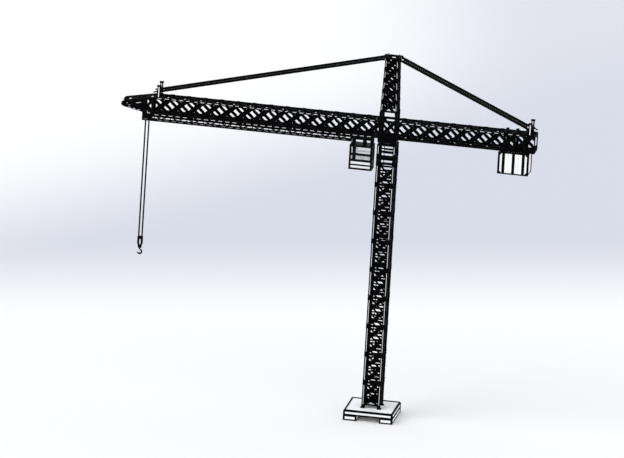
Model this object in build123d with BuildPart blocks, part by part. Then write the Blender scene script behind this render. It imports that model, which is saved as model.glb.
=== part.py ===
"""Hammerhead tower crane with a lattice mast, jib, counter-jib, cab, trolley and hook block."""

import math
import os

from build123d import *

# All lengths are in mm. The crane stands on Z 0 with its mast on the Z axis and its jib towards -X.

# concrete base: a slab on two runners, with steel angles along its edges
slab_side = 4100.0
slab_thickness = 400.0
runner_width = 1070.0
runner_height = 450.0
base_edge = 110.0

# mast: a square tower of hollow legs and crossed bars
mast_spacing = 1400.0
mast_leg = 190.0
mast_leg_wall = 10.0
mast_bay = 1226.0
mast_bays = 17
mast_stub = 990.0
mast_sole = 290.0
mast_head = 1008.0
mast_head_bar_share = 0.68
mast_bar = 120.0
mast_joint_bar = 210.0
mast_bar_depth = 40.0
foot_side = 340.0
foot_thickness = 60.0
foot_bolt_radius = 20.0
foot_bolt_height = 90.0
foot_bolt_share = 0.39

# ladder inside the mast
ladder_width = 800.0
ladder_rail = 60.0
ladder_depth = 30.0
rung_pitch = 300.0
rung_width = 60.0
ladder_inset = 90.0
ladder_bracket = 40.0

# slewing ring and the frames that it joins
top_frame_thickness = 100.0
ring_radius = 570.0
ring_bore_radius = 420.0
ring_height = 100.0
ring_gap = 0.3
turntable_side = 1590.0
turntable_wall = 140.0
turntable_floor = 80.0

# main box truss of the jib and the counter-jib
truss_low = 24200.0
truss_height = 1540.0
truss_spacing = 1300.0
chord = 160.0
chord_wall = 8.0
side_bar = 210.0
flat_bar = 190.0
truss_bar_depth = 50.0

# portal that the tower head stands on
portal_leg = 220.0
portal_spacing = 1300.0
portal_top = 26400.0
portal_beam = 180.0
portal_wall = 10.0

# tower head
head_top = 31100.0
head_plate = 80.0
head_plate_side = 240.0
head_leg = 170.0
head_leg_wall = 8.0
head_foot_x = 640.0
head_foot_y = 650.0
head_peak_x = 490.0
head_peak_y = 475.0
head_bays = 5
head_bar = 160.0
head_foot_beam = 160.0
head_bar_depth = 40.0
cap_thickness = 100.0
cap_border = 150.0
lug_reach = 780.0
lug_length = 160.0
lug_height = 200.0
lug_width = 150.0

# jib
jib_first_joint = 1800.0
jib_pitch = 1387.0
jib_bays = 13
nose_foot = 20750.0
nose_tip = 22330.0
nose_tip_low = 24790.0
nose_tip_high = 25160.0
nose_bar = 190.0
nose_bays = 2
nose_foot_beam = 120.0
nose_depth = 90.0
nose_end_radius = 230.0
nose_end_depth = 160.0
nose_drum_radius = 160.0
nose_drum_wall = 12.0

# trolley rails under the jib and the lattices that they hang from
rail_low = 23680.0
rail_height = 200.0
rail_width = 100.0
rail_web = 16.0
rail_flange = 20.0
rail_bar = 70.0
rail_bar_depth = 40.0

# counter-jib
counter_first_joint = 1180.0
counter_pitch = 1380.0
counter_bays = 8
counter_end = 12400.0
end_frame_depth = 80.0

# ties and the posts that hold them
tie_width = 120.0
tie_height = 180.0
tie_post_spacing = 900.0
tie_beam_height = 260.0
tie_wall = 8.0
post_length = 250.0
post_width = 160.0
post_height = 1040.0
jib_post = 19450.0
jib_tie_rise = 510.0
counter_post = 12000.0
counter_tie_rise = 460.0
stud_radius = 55.0
stud_length = 380.0
nut_radius = 120.0
nut_length = 90.0

# counterweights
weight_start = 9500.0
weight_length = 820.0
weight_gap = 20.0
weight_count = 3
weight_width = 1600.0
weight_low = 22260.0
weight_height = 1890.0
weight_edge = 80.0
strap_width = 240.0
strap_thickness = 20.0
yoke_height = 120.0

# cab
cab_outer = 3130.0
cab_inner = 1180.0
cab_width = 1120.0
cab_low = 21270.0
cab_height = 2100.0
cab_plate = 60.0
cab_wall = 40.0
cab_bar = 60.0
cab_panel = 20.0
cab_pane = 10.0
quarter_post = 260.0
quarter_post_share = 0.21
rear_post = 180.0
belt_share = 0.172
sill_height = 190.0
sill_share = 0.366
middle_rail = 180.0
middle_rail_share = 0.636
door_width = 620.0
hanger_beam_width = 120.0
hanger_beam_height = 300.0
hanger_post = 160.0
hanger_place_shares = (0.13, 0.6, 0.92)

# seat and console in the cab
seat_side = 480.0
seat_height = 420.0
seat_plinth = 220.0
seat_cushion = 120.0
seat_back_height = 620.0
seat_back_depth = 110.0
seat_place_share = 0.45
console_depth = 260.0
console_width = 640.0
console_height = 780.0
console_wall = 20.0
console_place_share = 0.8

# trolley
trolley_place = 20380.0
trolley_length = 760.0
trolley_plate = 30.0
trolley_height = 230.0
trolley_clearance = 10.0
trolley_beam = 90.0
trolley_end_beam = 45.0
sheave_plate = 20.0
sheave_plate_height = 120.0
wheel_clearance = 0.3
wheel_radius = 75.0
wheel_width = 50.0
wheel_place_share = 0.33
axle_radius = 25.0

# hoist ropes and their sheaves
rope_radius = 50.0
fall_half_gap = 140.0
trolley_sheave_radius = 70.0
sheave_width = 100.0
sheave_slot = 110.0
sheave_axle_radius = 30.0

# hook block
block_high = 13490.0
block_height = 860.0
block_length = 460.0
block_foot_length = 300.0
block_taper = 260.0
block_corner = 60.0
cheek_thickness = 30.0
cheek_window_width = 130.0
cheek_window_low = 110.0
cheek_window_height = 500.0
block_sheave_drop = 130.0
crosshead_length = 300.0
crosshead_height = 150.0
crosshead_width = 200.0
crosshead_floor = 60.0
nut_pocket_length = 180.0
nut_pocket_width = 160.0

# hook
hook_drop = 1340.0
hook_ring_radius = 180.0
hook_sweep = 250.0
hook_thickness = 76.0
hook_place_shares = (0.0, 0.3, 0.6, 1.0)
hook_radius_shares = (0.76, 0.87, 1.0, 0.47)
shank_radius = 58.0
swivel_gap = 5.0
stem_radius = 40.0
stem_clearance = 0.05
hook_nut_radius = 70.0
hook_nut_height = 60.0

# places that follow from the sizes above
slab_top = runner_height + slab_thickness
mast_half = mast_spacing / 2
mast_inside = mast_half - mast_leg / 2
leg_low = slab_top + foot_thickness
mast_top = slab_top + mast_stub + mast_bay * mast_bays + mast_head
frame_low = mast_top - top_frame_thickness
fixed_ring_low = mast_top
turning_ring_low = fixed_ring_low + ring_height + ring_gap
turntable_low = turning_ring_low + ring_height
truss_top = truss_low + truss_height
truss_half = truss_spacing / 2
tie_head_height = head_top - lug_height / 2
jib_tie_height = truss_top + jib_tie_rise
counter_tie_height = truss_top + counter_tie_rise
truss_inside = truss_half - chord / 2
web_low = truss_low + chord
web_high = truss_top - chord
portal_half = portal_spacing / 2
portal_face = portal_half + portal_leg / 2
jib_joints = [-jib_first_joint + jib_pitch * (1 - k) for k in range(jib_bays + 2)]
jib_straight_end = -jib_joints[-1]
counter_joints = [counter_first_joint + counter_pitch * (k - 1) for k in range(counter_bays + 3)]
head_low = portal_top + head_plate
corners = [(side_x, side_y) for side_x in (-1, 1) for side_y in (-1, 1)]
cab_length = cab_outer - cab_inner
hanger_places = [-cab_outer + cab_length * share for share in hanger_place_shares]
rail_start = hanger_post / 2 - hanger_places[0]
rail_end = nose_foot


def facing_y(y):
    """A plane across Y, with X to its right and Z up."""
    return Plane(origin=(0, y, 0), x_dir=(1, 0, 0), z_dir=(0, -1, 0))


def facing_x(x):
    """A plane across X, with Y to its right and Z up."""
    return Plane(origin=(x, 0, 0), x_dir=(0, 1, 0), z_dir=(1, 0, 0))


def strip(start, end, width):
    """A flat bar from point to point, and its own width past them."""
    slope = math.degrees(math.atan2(end[1] - start[1], end[0] - start[0]))
    middle = ((start[0] + end[0]) / 2, (start[1] + end[1]) / 2, 0)
    length = math.dist(start, end) + 2 * width
    return Location(middle, (0, 0, slope)) * Face.make_rect(length, width)


def crossed(places, low, high, width):
    """Two crossed bars in each bay between neighbouring places along a truss."""
    bars = []
    for here, there in zip(places, places[1:]):
        bars.append(strip((here, low), (there, high), width))
        bars.append(strip((here, high), (there, low), width))
    return bars


def zigzag(places, low, high, width):
    """One bar in each bay, leaning to and fro."""
    bars = []
    for k, (here, there) in enumerate(zip(places, places[1:])):
        ends = (low, high) if k % 2 == 0 else (high, low)
        bars.append(strip((here, ends[0]), (there, ends[1]), width))
    return bars


def lattice(plane, outline, bars):
    """One flat side of a truss: its bars, cut off at the outline."""
    with BuildSketch(plane) as side:
        add(bars)
        with BuildLine():
            Polyline(*outline, close=True)
        make_face(mode=Mode.INTERSECT)
    return side.sketch


def edge_frame(centre, size, edge):
    """The twelve edges of a box as one steel frame."""
    return Location(centre) * (
        Box(*size)
        - Box(size[0] - 2 * edge, size[1] - 2 * edge, size[2])
        - Box(size[0] - 2 * edge, size[1], size[2] - 2 * edge)
        - Box(size[0], size[1] - 2 * edge, size[2] - 2 * edge)
    )


def along(low, high):
    """Middle and length of a stretch."""
    return (low + high) / 2, high - low


# base
slab_middle = (0, 0, runner_height + slab_thickness / 2)
slab_size = (slab_side, slab_side, slab_thickness)
runner_size = (runner_width, slab_side, runner_height)
runner_middles = [(side * (slab_side - runner_width) / 2, 0, runner_height / 2) for side in (-1, 1)]
slab_edges = edge_frame(slab_middle, slab_size, base_edge)
runner_edges = [edge_frame(middle, runner_size, base_edge) for middle in runner_middles]

with BuildPart() as base_slab:
    with Locations(slab_middle):
        Box(*slab_size)
    add(slab_edges, mode=Mode.SUBTRACT)

with BuildPart() as base_runners:
    with Locations(*runner_middles):
        Box(*runner_size)
    add(runner_edges, mode=Mode.SUBTRACT)

with BuildPart() as base_slab_edges:
    add(slab_edges)

with BuildPart() as base_runner_edges:
    add(runner_edges)

with BuildPart() as anchor_feet:
    with BuildSketch(Plane.XY.offset(slab_top)):
        with GridLocations(mast_spacing, mast_spacing, 2, 2):
            Rectangle(foot_side, foot_side)
    extrude(amount=foot_thickness)
    foot_bolts = foot_side * 2 * foot_bolt_share
    with BuildSketch(Plane.XY.offset(leg_low)):
        with GridLocations(mast_spacing, mast_spacing, 2, 2):
            with GridLocations(foot_bolts, foot_bolts, 2, 2):
                RegularPolygon(foot_bolt_radius, 6)
    extrude(amount=foot_bolt_height - foot_thickness)

# mast
with BuildPart() as mast_legs:
    with BuildSketch(Plane.XY.offset(leg_low)):
        with GridLocations(mast_spacing, mast_spacing, 2, 2):
            Rectangle(mast_leg, mast_leg)
            Rectangle(mast_leg - 2 * mast_leg_wall, mast_leg - 2 * mast_leg_wall, mode=Mode.SUBTRACT)
    extrude(amount=frame_low - leg_low)

mast_levels = [slab_top + mast_stub + mast_bay * k for k in range(mast_bays + 1)]
mast_outline = [
    (-mast_inside, leg_low),
    (mast_inside, leg_low),
    (mast_inside, frame_low),
    (-mast_inside, frame_low),
]
sole_level = slab_top + mast_sole
open_levels = [
    (mast_levels[-2] + mast_levels[-1]) / 2,
    mast_levels[-1] + mast_head * mast_head_bar_share,
]
joint_levels = mast_levels[1::2] + open_levels[:1]
plain_levels = [sole_level] + mast_levels[::2] + open_levels[1:]
mast_strips = [strip((-mast_inside, z), (mast_inside, z), mast_joint_bar) for z in joint_levels]
mast_strips += [strip((-mast_inside, z), (mast_inside, z), mast_bar) for z in plain_levels]
for low, high in zip([sole_level] + mast_levels[:-2], mast_levels[:-1]):
    mast_strips += crossed((-mast_inside, mast_inside), low, high, mast_bar)

with BuildPart() as mast_lattice_x:
    for side in (-1, 1):
        extrude(
            lattice(facing_y(side * mast_half), mast_outline, mast_strips),
            amount=mast_bar_depth / 2,
            both=True,
        )

with BuildPart() as mast_lattice_y:
    for side in (-1, 1):
        extrude(
            lattice(facing_x(side * mast_half), mast_outline, mast_strips),
            amount=mast_bar_depth / 2,
            both=True,
        )

ladder_place = mast_half - mast_bar_depth / 2 - ladder_inset
ladder_high = frame_low - rung_pitch
ladder_strips = []
for side in (-1, 1):
    rail_place = side * (ladder_width - ladder_rail) / 2
    ladder_strips.append(strip((rail_place, leg_low), (rail_place, ladder_high), ladder_rail))
for k in range(int((ladder_high - leg_low) / rung_pitch)):
    rung = leg_low + rung_pitch * (k + 0.5)
    ladder_strips.append(strip((-ladder_width / 2, rung), (ladder_width / 2, rung), rung_width))
ladder_outline = [
    (-ladder_width / 2, slab_top),
    (ladder_width / 2, slab_top),
    (ladder_width / 2, ladder_high),
    (-ladder_width / 2, ladder_high),
]

with BuildPart() as mast_ladder:
    extrude(
        lattice(facing_y(ladder_place), ladder_outline, ladder_strips), amount=ladder_depth / 2, both=True
    )
    bracket_middle, bracket_length = along(
        ladder_place + ladder_depth / 2, mast_half - mast_bar_depth / 2
    )
    for level in mast_levels:
        with Locations((0, bracket_middle, level)):
            with GridLocations(ladder_width - ladder_rail, 0, 2, 1):
                Box(ladder_bracket, bracket_length, ladder_bracket)

with BuildPart() as mast_top_frame:
    with BuildSketch(Plane.XY.offset(frame_low)):
        Rectangle(mast_spacing + mast_leg, mast_spacing + mast_leg)
        Circle(ring_bore_radius, mode=Mode.SUBTRACT)
    extrude(amount=top_frame_thickness)

# slewing ring and turntable
with BuildPart() as slew_ring_fixed:
    with BuildSketch(Plane.XY.offset(fixed_ring_low)):
        Circle(ring_radius)
        Circle(ring_bore_radius, mode=Mode.SUBTRACT)
    extrude(amount=ring_height)

with BuildPart() as slew_ring_turning:
    with BuildSketch(Plane.XY.offset(turning_ring_low)):
        Circle(ring_radius)
        Circle(ring_bore_radius, mode=Mode.SUBTRACT)
    extrude(amount=ring_height)

with BuildPart() as turntable:
    with BuildSketch(Plane.XY.offset(turntable_low)):
        Rectangle(turntable_side, turntable_side)
        Circle(ring_bore_radius, mode=Mode.SUBTRACT)
    extrude(amount=turntable_floor)
    with BuildSketch(Plane.XY.offset(turntable_low + turntable_floor)):
        Rectangle(turntable_side, turntable_side)
        Rectangle(
            turntable_side - 2 * turntable_wall, turntable_side - 2 * turntable_wall, mode=Mode.SUBTRACT
        )
    extrude(amount=truss_low - turntable_low - turntable_floor)

# portal between the jib and the counter-jib
portal_inside = portal_half - portal_leg / 2
portal_levels = (truss_low, web_high)
portal_outline = [
    (-portal_inside, web_low),
    (portal_inside, web_low),
    (portal_inside, web_high),
    (-portal_inside, web_high),
]
portal_strips = crossed((-portal_inside, portal_inside), web_low, web_high, side_bar)

with BuildPart() as portal_sides:
    with BuildSketch(Plane.XY.offset(truss_low)):
        with GridLocations(portal_spacing, truss_spacing, 2, 2):
            Rectangle(portal_leg, portal_leg)
            Rectangle(portal_leg - 2 * portal_wall, portal_leg - 2 * portal_wall, mode=Mode.SUBTRACT)
    extrude(amount=portal_top - truss_low)
    for level in portal_levels:
        with BuildSketch(facing_x(0)):
            with Locations((0, level + portal_beam / 2)):
                with GridLocations(truss_spacing, 0, 2, 1):
                    Rectangle(portal_beam, portal_beam)
        extrude(amount=portal_inside, both=True)
    for side in (-1, 1):
        extrude(
            lattice(facing_y(side * truss_half), portal_outline, portal_strips),
            amount=truss_bar_depth / 2,
            both=True,
        )

portal_hollow = portal_beam - 2 * portal_wall

with BuildPart() as portal_cross_beams:
    for level in portal_levels:
        with BuildSketch(facing_y(0)):
            with Locations((0, level + portal_beam / 2)):
                with GridLocations(portal_spacing, 0, 2, 1):
                    Rectangle(portal_beam, portal_beam)
                    Rectangle(portal_hollow, portal_hollow, mode=Mode.SUBTRACT)
        extrude(amount=(truss_spacing - portal_leg) / 2, both=True)

# tower head
with BuildPart() as tower_head_legs:
    with Locations((0, 0, portal_top + head_plate / 2)):
        with GridLocations(2 * head_foot_x, 2 * head_foot_y, 2, 2):
            Box(head_plate_side, head_plate_side, head_plate)
    for width, mode in ((head_leg, Mode.ADD), (head_leg - 2 * head_leg_wall, Mode.SUBTRACT)):
        for side_x, side_y in corners:
            with BuildSketch(Plane.XY.offset(head_low)) as foot:
                with Locations((side_x * head_foot_x, side_y * head_foot_y)):
                    Rectangle(width, width)
            with BuildSketch(Plane.XY.offset(head_top)) as peak:
                with Locations((side_x * head_peak_x, side_y * head_peak_y)):
                    Rectangle(width, width)
            loft([foot.sketch, peak.sketch], ruled=True, mode=mode)


def leaning_side(low, high, across, half_low, half_high, lean_dir):
    """One leaning side of the tower head, from its foot to its peak."""
    low = Vector(low)
    rise = Vector(high) - low
    plane = Plane(
        origin=low - Vector(lean_dir) * (head_bar_depth / 2), x_dir=across, z_dir=Vector(across).cross(rise)
    )
    length = rise.length
    levels = [length * k / head_bays for k in range(head_bays + 1)]
    halves = [half_low + (half_high - half_low) * k / head_bays for k in range(head_bays + 1)]
    bars = []
    for k in range(head_bays):
        bars.append(strip((-halves[k], levels[k]), (halves[k + 1], levels[k + 1]), head_bar))
        bars.append(strip((halves[k], levels[k]), (-halves[k + 1], levels[k + 1]), head_bar))
    for level, half in zip(levels, halves):
        bars.append(strip((-half, level), (half, level), head_bar))
    foot_beam = head_foot_beam / 2
    bars.append(strip((-half_low, foot_beam), (half_low, foot_beam), head_foot_beam))
    outline = [(-half_low, 0), (half_low, 0), (half_high, length), (-half_high, length)]
    return lattice(plane, outline, bars)


with BuildPart() as tower_head_lattice_x:
    for side in (-1, 1):
        extrude(
            leaning_side(
                (0, side * head_foot_y, head_low),
                (0, side * head_peak_y, head_top),
                (1, 0, 0),
                head_foot_x - head_leg / 2,
                head_peak_x - head_leg / 2,
                (0, 1, 0),
            ),
            amount=head_bar_depth,
            dir=(0, 1, 0),
        )

with BuildPart() as tower_head_lattice_y:
    for side in (-1, 1):
        extrude(
            leaning_side(
                (side * head_foot_x, 0, head_low),
                (side * head_peak_x, 0, head_top),
                (0, 1, 0),
                head_foot_y - head_leg / 2,
                head_peak_y - head_leg / 2,
                (1, 0, 0),
            ),
            amount=head_bar_depth,
            dir=(1, 0, 0),
        )

with BuildPart() as tower_cap:
    cap_length = 2 * head_peak_x + head_leg
    cap_width = 2 * head_peak_y + head_leg
    with BuildSketch(Plane.XY.offset(head_top)):
        Rectangle(cap_length, cap_width)
        Rectangle(cap_length - 2 * cap_border, cap_width - 2 * cap_border, mode=Mode.SUBTRACT)
        with GridLocations(0, 2 * head_peak_y, 1, 2):
            Rectangle(2 * lug_reach, lug_width)
    extrude(amount=cap_thickness)
    with Locations((0, 0, head_top - lug_height / 2)):
        with GridLocations(2 * lug_reach - lug_length, 2 * head_peak_y, 2, 2):
            Box(lug_length, lug_width, lug_height)


def box_chords(low, high):
    """Four hollow chords of the box truss between two places along X."""
    middle, length = along(low, high)
    with BuildSketch(facing_x(middle)) as section:
        with Locations((0, truss_low + truss_height / 2)):
            with GridLocations(truss_spacing, truss_height - chord, 2, 2):
                Rectangle(chord, chord)
                Rectangle(chord - 2 * chord_wall, chord - 2 * chord_wall, mode=Mode.SUBTRACT)
    return extrude(section.sketch, amount=length / 2, both=True)


def box_outline(low, high, bottom, top):
    """The outline between the chords on one side of the truss."""
    return [(low, bottom), (high, bottom), (high, top), (low, top)]


def halved(places):
    """The places, with one more half way between each two."""
    finer = []
    for here, there in zip(places, places[1:]):
        finer += [here, (here + there) / 2]
    return finer + [places[-1]]


def cross_pieces(places, width):
    """Bars straight across the truss at the places given."""
    return [strip((x, -truss_inside), (x, truss_inside), width) for x in places]


# jib
with BuildPart() as jib_chords:
    add(box_chords(-jib_straight_end, -portal_face))

with BuildPart() as jib_side_lattices:
    jib_web = box_outline(-jib_straight_end, -portal_face, web_low, web_high)
    for side in (-1, 1):
        extrude(
            lattice(
                facing_y(side * truss_half), jib_web, crossed(jib_joints, web_low, web_high, side_bar)
            ),
            amount=truss_bar_depth / 2,
            both=True,
        )

jib_flat = box_outline(-jib_straight_end, -portal_face, -truss_inside, truss_inside)
jib_flat_joints = [x for x in jib_joints if x < -portal_face]

with BuildPart() as jib_top_lattice:
    top_strips = crossed(jib_joints, -truss_inside, truss_inside, flat_bar)
    top_strips += cross_pieces(halved(jib_flat_joints), flat_bar)
    extrude(
        lattice(Plane.XY.offset(truss_top - chord / 2), jib_flat, top_strips),
        amount=truss_bar_depth / 2,
        both=True,
    )

with BuildPart() as jib_bottom_lattice:
    bottom_strips = crossed(jib_joints, -truss_inside, truss_inside, flat_bar)
    bottom_strips += cross_pieces(halved(jib_flat_joints), flat_bar)
    extrude(
        lattice(Plane.XY.offset(truss_low + chord / 2), jib_flat, bottom_strips),
        amount=truss_bar_depth / 2,
        both=True,
    )

# nose of the jib: its four chords run together towards a round cross tube
nose_root = -jib_straight_end
low_line = truss_low + chord / 2
high_line = truss_top - chord / 2
nose_middle = (nose_tip_low + nose_tip_high) / 2
nose_brace = -nose_foot + nose_bar / 2
nose_share = (nose_root - nose_brace) / (nose_root + nose_tip)
brace_low = low_line + (nose_tip_low - low_line) * nose_share
brace_high = high_line + (nose_tip_high - high_line) * nose_share
nose_outline = [
    (nose_root, truss_low),
    (-nose_foot, truss_low),
    (-nose_foot, brace_low - chord / 2),
    (-nose_tip, nose_tip_low - chord / 2),
    (-nose_tip, nose_tip_high + chord / 2),
    (nose_root, truss_top),
]
nose_strips = [
    strip((nose_root, low_line), (nose_brace, low_line), chord),
    strip((nose_root, low_line), (-nose_tip, nose_tip_low), chord),
    strip((nose_root, high_line), (-nose_tip, nose_tip_high), chord),
    strip((nose_root - nose_bar / 2, truss_low), (nose_root - nose_bar / 2, truss_top), nose_bar),
    strip((nose_root, high_line), (nose_brace, brace_low), nose_bar),
    strip((nose_root, low_line), (nose_brace, brace_high), nose_bar),
    strip((nose_brace, low_line), (nose_brace, brace_high), nose_bar),
    strip((nose_brace, brace_high), (-nose_tip, nose_tip_low), nose_bar),
    strip((-nose_tip + chord / 2, nose_tip_low), (-nose_tip + chord / 2, nose_tip_high), chord),
]

with BuildPart() as jib_nose_sides:
    for side in (-1, 1):
        extrude(
            lattice(facing_y(side * truss_half), nose_outline, nose_strips),
            amount=nose_depth / 2,
            both=True,
        )
        with BuildSketch(facing_y(side * truss_half)):
            with Locations((-nose_tip, nose_middle)):
                Circle(nose_end_radius)
        extrude(amount=nose_end_depth / 2, both=True)



def nose_flat(line_height, tip_height):
    """The crossed bars between both chords of the nose, above or below."""
    start = Vector(nose_root, 0, line_height)
    run = Vector(-nose_tip, 0, tip_height) - start
    plane = Plane(origin=start, x_dir=run, z_dir=run.cross(Vector(0, 1, 0)))
    reach = run.length - nose_end_radius
    places = [reach * k / nose_bays for k in range(nose_bays + 1)]
    half = truss_half - nose_depth / 2
    bars = crossed(places, -half, half, nose_bar) + [strip((x, -half), (x, half), nose_bar) for x in places]
    return lattice(plane, box_outline(truss_bar_depth, reach, -half, half), bars)


with BuildPart() as jib_nose_flats:
    for line_height, tip_height in ((low_line, nose_tip_low), (high_line, nose_tip_high)):
        extrude(nose_flat(line_height, tip_height), amount=truss_bar_depth / 2, both=True)

with BuildPart() as jib_nose_cross_beam:
    with Locations((nose_brace, 0, truss_low + nose_foot_beam / 2)):
        Box(nose_bar, truss_spacing - nose_depth, nose_foot_beam)

with BuildPart() as jib_nose_drum:
    with BuildSketch(facing_y(0)):
        with Locations((-nose_tip, nose_middle)):
            Circle(nose_drum_radius)
            Circle(nose_drum_radius - nose_drum_wall, mode=Mode.SUBTRACT)
    extrude(amount=truss_half - nose_end_depth / 2, both=True)

# trolley rails: channels that open inwards, hung from the lower chords by a close zigzag of bars
with BuildPart() as jib_rails:
    rail_middle, rail_length = along(-rail_end, -rail_start)
    for side in (-1, 1):
        with BuildSketch(facing_x(rail_middle)):
            with Locations((side * truss_half, rail_low + rail_height / 2)):
                Rectangle(rail_width, rail_height)
            with Locations((side * (truss_half - rail_web), rail_low + rail_height / 2)):
                Rectangle(rail_width, rail_height - 2 * rail_flange, mode=Mode.SUBTRACT)
        extrude(amount=rail_length / 2, both=True)

with BuildPart() as jib_rail_lattices:
    rail_top = rail_low + rail_height
    rail_outline = box_outline(-rail_end, -rail_start, rail_top, truss_low)
    rail_joints = halved([x for x in jib_joints if -rail_end < x < -rail_start])
    rail_joints = [-rail_start] + rail_joints + [-rail_end]
    bar_low = rail_top + rail_bar / 2
    bar_high = truss_low - rail_bar / 2
    rail_strips = zigzag(rail_joints, bar_low, bar_high, rail_bar)
    for x in (-rail_start - rail_bar / 2, -rail_end + rail_bar / 2):
        rail_strips.append(strip((x, rail_top), (x, truss_low), rail_bar))
    for z in (bar_low, bar_high):
        rail_strips.append(strip((-rail_start, z), (-rail_end, z), rail_bar))
    for side in (-1, 1):
        extrude(
            lattice(facing_y(side * truss_half), rail_outline, rail_strips),
            amount=rail_bar_depth / 2,
            both=True,
        )

# counter-jib
with BuildPart() as counter_jib_chords:
    add(box_chords(portal_face, counter_end))

with BuildPart() as counter_jib_side_lattices:
    counter_web = box_outline(portal_face, counter_end, web_low, web_high)
    for side in (-1, 1):
        extrude(
            lattice(
                facing_y(side * truss_half),
                counter_web,
                crossed(counter_joints, web_low, web_high, side_bar),
            ),
            amount=truss_bar_depth / 2,
            both=True,
        )

counter_flat = box_outline(portal_face, counter_end, -truss_inside, truss_inside)
counter_flat_joints = [x for x in counter_joints if portal_face < x < counter_end]

with BuildPart() as counter_jib_top_lattice:
    top_strips = crossed(counter_joints, -truss_inside, truss_inside, flat_bar)
    top_strips += cross_pieces(halved(counter_flat_joints), flat_bar)
    extrude(
        lattice(Plane.XY.offset(truss_top - chord / 2), counter_flat, top_strips),
        amount=truss_bar_depth / 2,
        both=True,
    )

with BuildPart() as counter_jib_bottom_lattice:
    bottom_strips = crossed(counter_joints, -truss_inside, truss_inside, flat_bar)
    bottom_strips += cross_pieces(halved(counter_flat_joints), flat_bar)
    extrude(
        lattice(Plane.XY.offset(truss_low + chord / 2), counter_flat, bottom_strips),
        amount=truss_bar_depth / 2,
        both=True,
    )

with BuildPart() as counter_jib_end_frame:
    frame_side = truss_spacing + chord
    with BuildSketch(facing_x(counter_end)):
        with Locations((0, truss_low + truss_height / 2)):
            Rectangle(frame_side, truss_height)
            Rectangle(frame_side - 2 * chord, truss_height - 2 * chord, mode=Mode.SUBTRACT)
    extrude(amount=end_frame_depth)


def tie_run(post_face, height):
    """Start and run of a tie on the +Y side, from the head's lug to the beam between the posts."""
    start = Vector(math.copysign(lug_reach, post_face), head_peak_y, tie_head_height)
    return start, Vector(post_face, tie_post_spacing / 2, height) - start


def mirrored(vector, side):
    """The same vector on the side of the crane that is given as -1 or 1."""
    return Vector(vector.X, side * vector.Y, vector.Z)


def tie_pair(post_face, height):
    """Both ties of one jib."""
    start, run = tie_run(post_face, height)
    with BuildPart() as pair:
        for side in (-1, 1):
            with BuildSketch(facing_x(start.X)) as section:
                with Locations((side * start.Y, start.Z)):
                    Rectangle(tie_width, tie_height)
                    Rectangle(tie_width - 2 * tie_wall, tie_height - 2 * tie_wall, mode=Mode.SUBTRACT)
            extrude(section.sketch, amount=run.length, dir=mirrored(run, side).normalized())
    return pair.part


def post_pair(place, post_face, height):
    """Both tie posts of one jib and the beam between them, with the studs and nuts that the ties end in."""
    run = tie_run(post_face, height)[1]
    far_face = 2 * place - post_face
    with BuildPart() as pair:
        with Locations((place, 0, truss_top + post_height / 2)):
            with GridLocations(0, truss_spacing, 1, 2):
                Box(post_length, post_width, post_height)
        with Locations((place, 0, height)):
            Box(post_length, truss_spacing - post_width, tie_beam_height)
        for side in (-1, 1):
            direction = mirrored(run, side).normalized()
            stud_start = Vector(place, side * tie_post_spacing / 2, height)
            reach = abs((far_face - place) / direction.X)
            with BuildSketch(Plane(origin=stud_start, z_dir=direction)):
                Circle(stud_radius)
            extrude(amount=reach + stud_length)
            with BuildSketch(Plane(origin=stud_start + direction * reach, z_dir=direction)):
                RegularPolygon(nut_radius, 6)
            extrude(amount=nut_length)
    return pair.part


jib_post_face = -jib_post + post_length / 2
counter_post_face = counter_post - post_length / 2

with BuildPart() as jib_tie_posts:
    add(post_pair(-jib_post, jib_post_face, jib_tie_height))

with BuildPart() as jib_ties:
    add(tie_pair(jib_post_face, jib_tie_height))

with BuildPart() as counter_jib_tie_posts:
    add(post_pair(counter_post, counter_post_face, counter_tie_height))

with BuildPart() as counter_jib_ties:
    add(tie_pair(counter_post_face, counter_tie_height))

# counterweights: concrete blocks in one steel frame, each held by a yoke over the top chords
weight_pitch = weight_length + weight_gap
weights_length = weight_pitch * weight_count - weight_gap
weight_heart = weight_low + weight_height / 2
weight_middles = [
    (weight_start + weight_length / 2 + weight_pitch * k, 0, weight_heart) for k in range(weight_count)
]
weights_middle = (weight_start + weights_length / 2, 0, weight_heart)
weight_frame = edge_frame(weights_middle, (weights_length, weight_width, weight_height), weight_edge)

with BuildPart() as counterweights:
    with Locations(*weight_middles):
        Box(weight_length, weight_width, weight_height)
    add(weight_frame, mode=Mode.SUBTRACT)

with BuildPart() as counterweight_edges:
    add(weight_frame)

with BuildPart() as counterweight_yokes:
    strap_middle, strap_length = along(weight_low, truss_top + yoke_height)
    for middle in weight_middles:
        with Locations((middle[0], 0, truss_top + yoke_height / 2)):
            Box(strap_width, weight_width, yoke_height)
        with Locations((middle[0], 0, strap_middle)):
            with GridLocations(0, weight_width + strap_thickness, 1, 2):
                Box(strap_width, strap_thickness, strap_length)

# cab
cab_middle = -(cab_outer + cab_inner) / 2
wall_low = cab_low + cab_plate
wall_high = cab_low + cab_height - cab_plate
wall_height = wall_high - wall_low


cab_rails = [
    (wall_low + cab_bar / 2, cab_bar),
    (wall_low + wall_height * belt_share, cab_bar),
    (wall_low + wall_height * sill_share, sill_height),
    (wall_low + wall_height * middle_rail_share, middle_rail),
    (wall_high - cab_bar / 2, cab_bar),
]
cab_sill = cab_rails[2][0]


def cells(uprights, rails):
    """Middle and size of each opening between bars, which are given as pairs of place and width."""
    found = []
    for (left, left_width), (right, right_width) in zip(uprights, uprights[1:]):
        for (below, below_width), (above, above_width) in zip(rails, rails[1:]):
            start, end = left + left_width / 2, right - right_width / 2
            low, high = below + below_width / 2, above - above_width / 2
            found.append((((start + end) / 2, (low + high) / 2), (end - start, high - low)))
    return found


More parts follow.
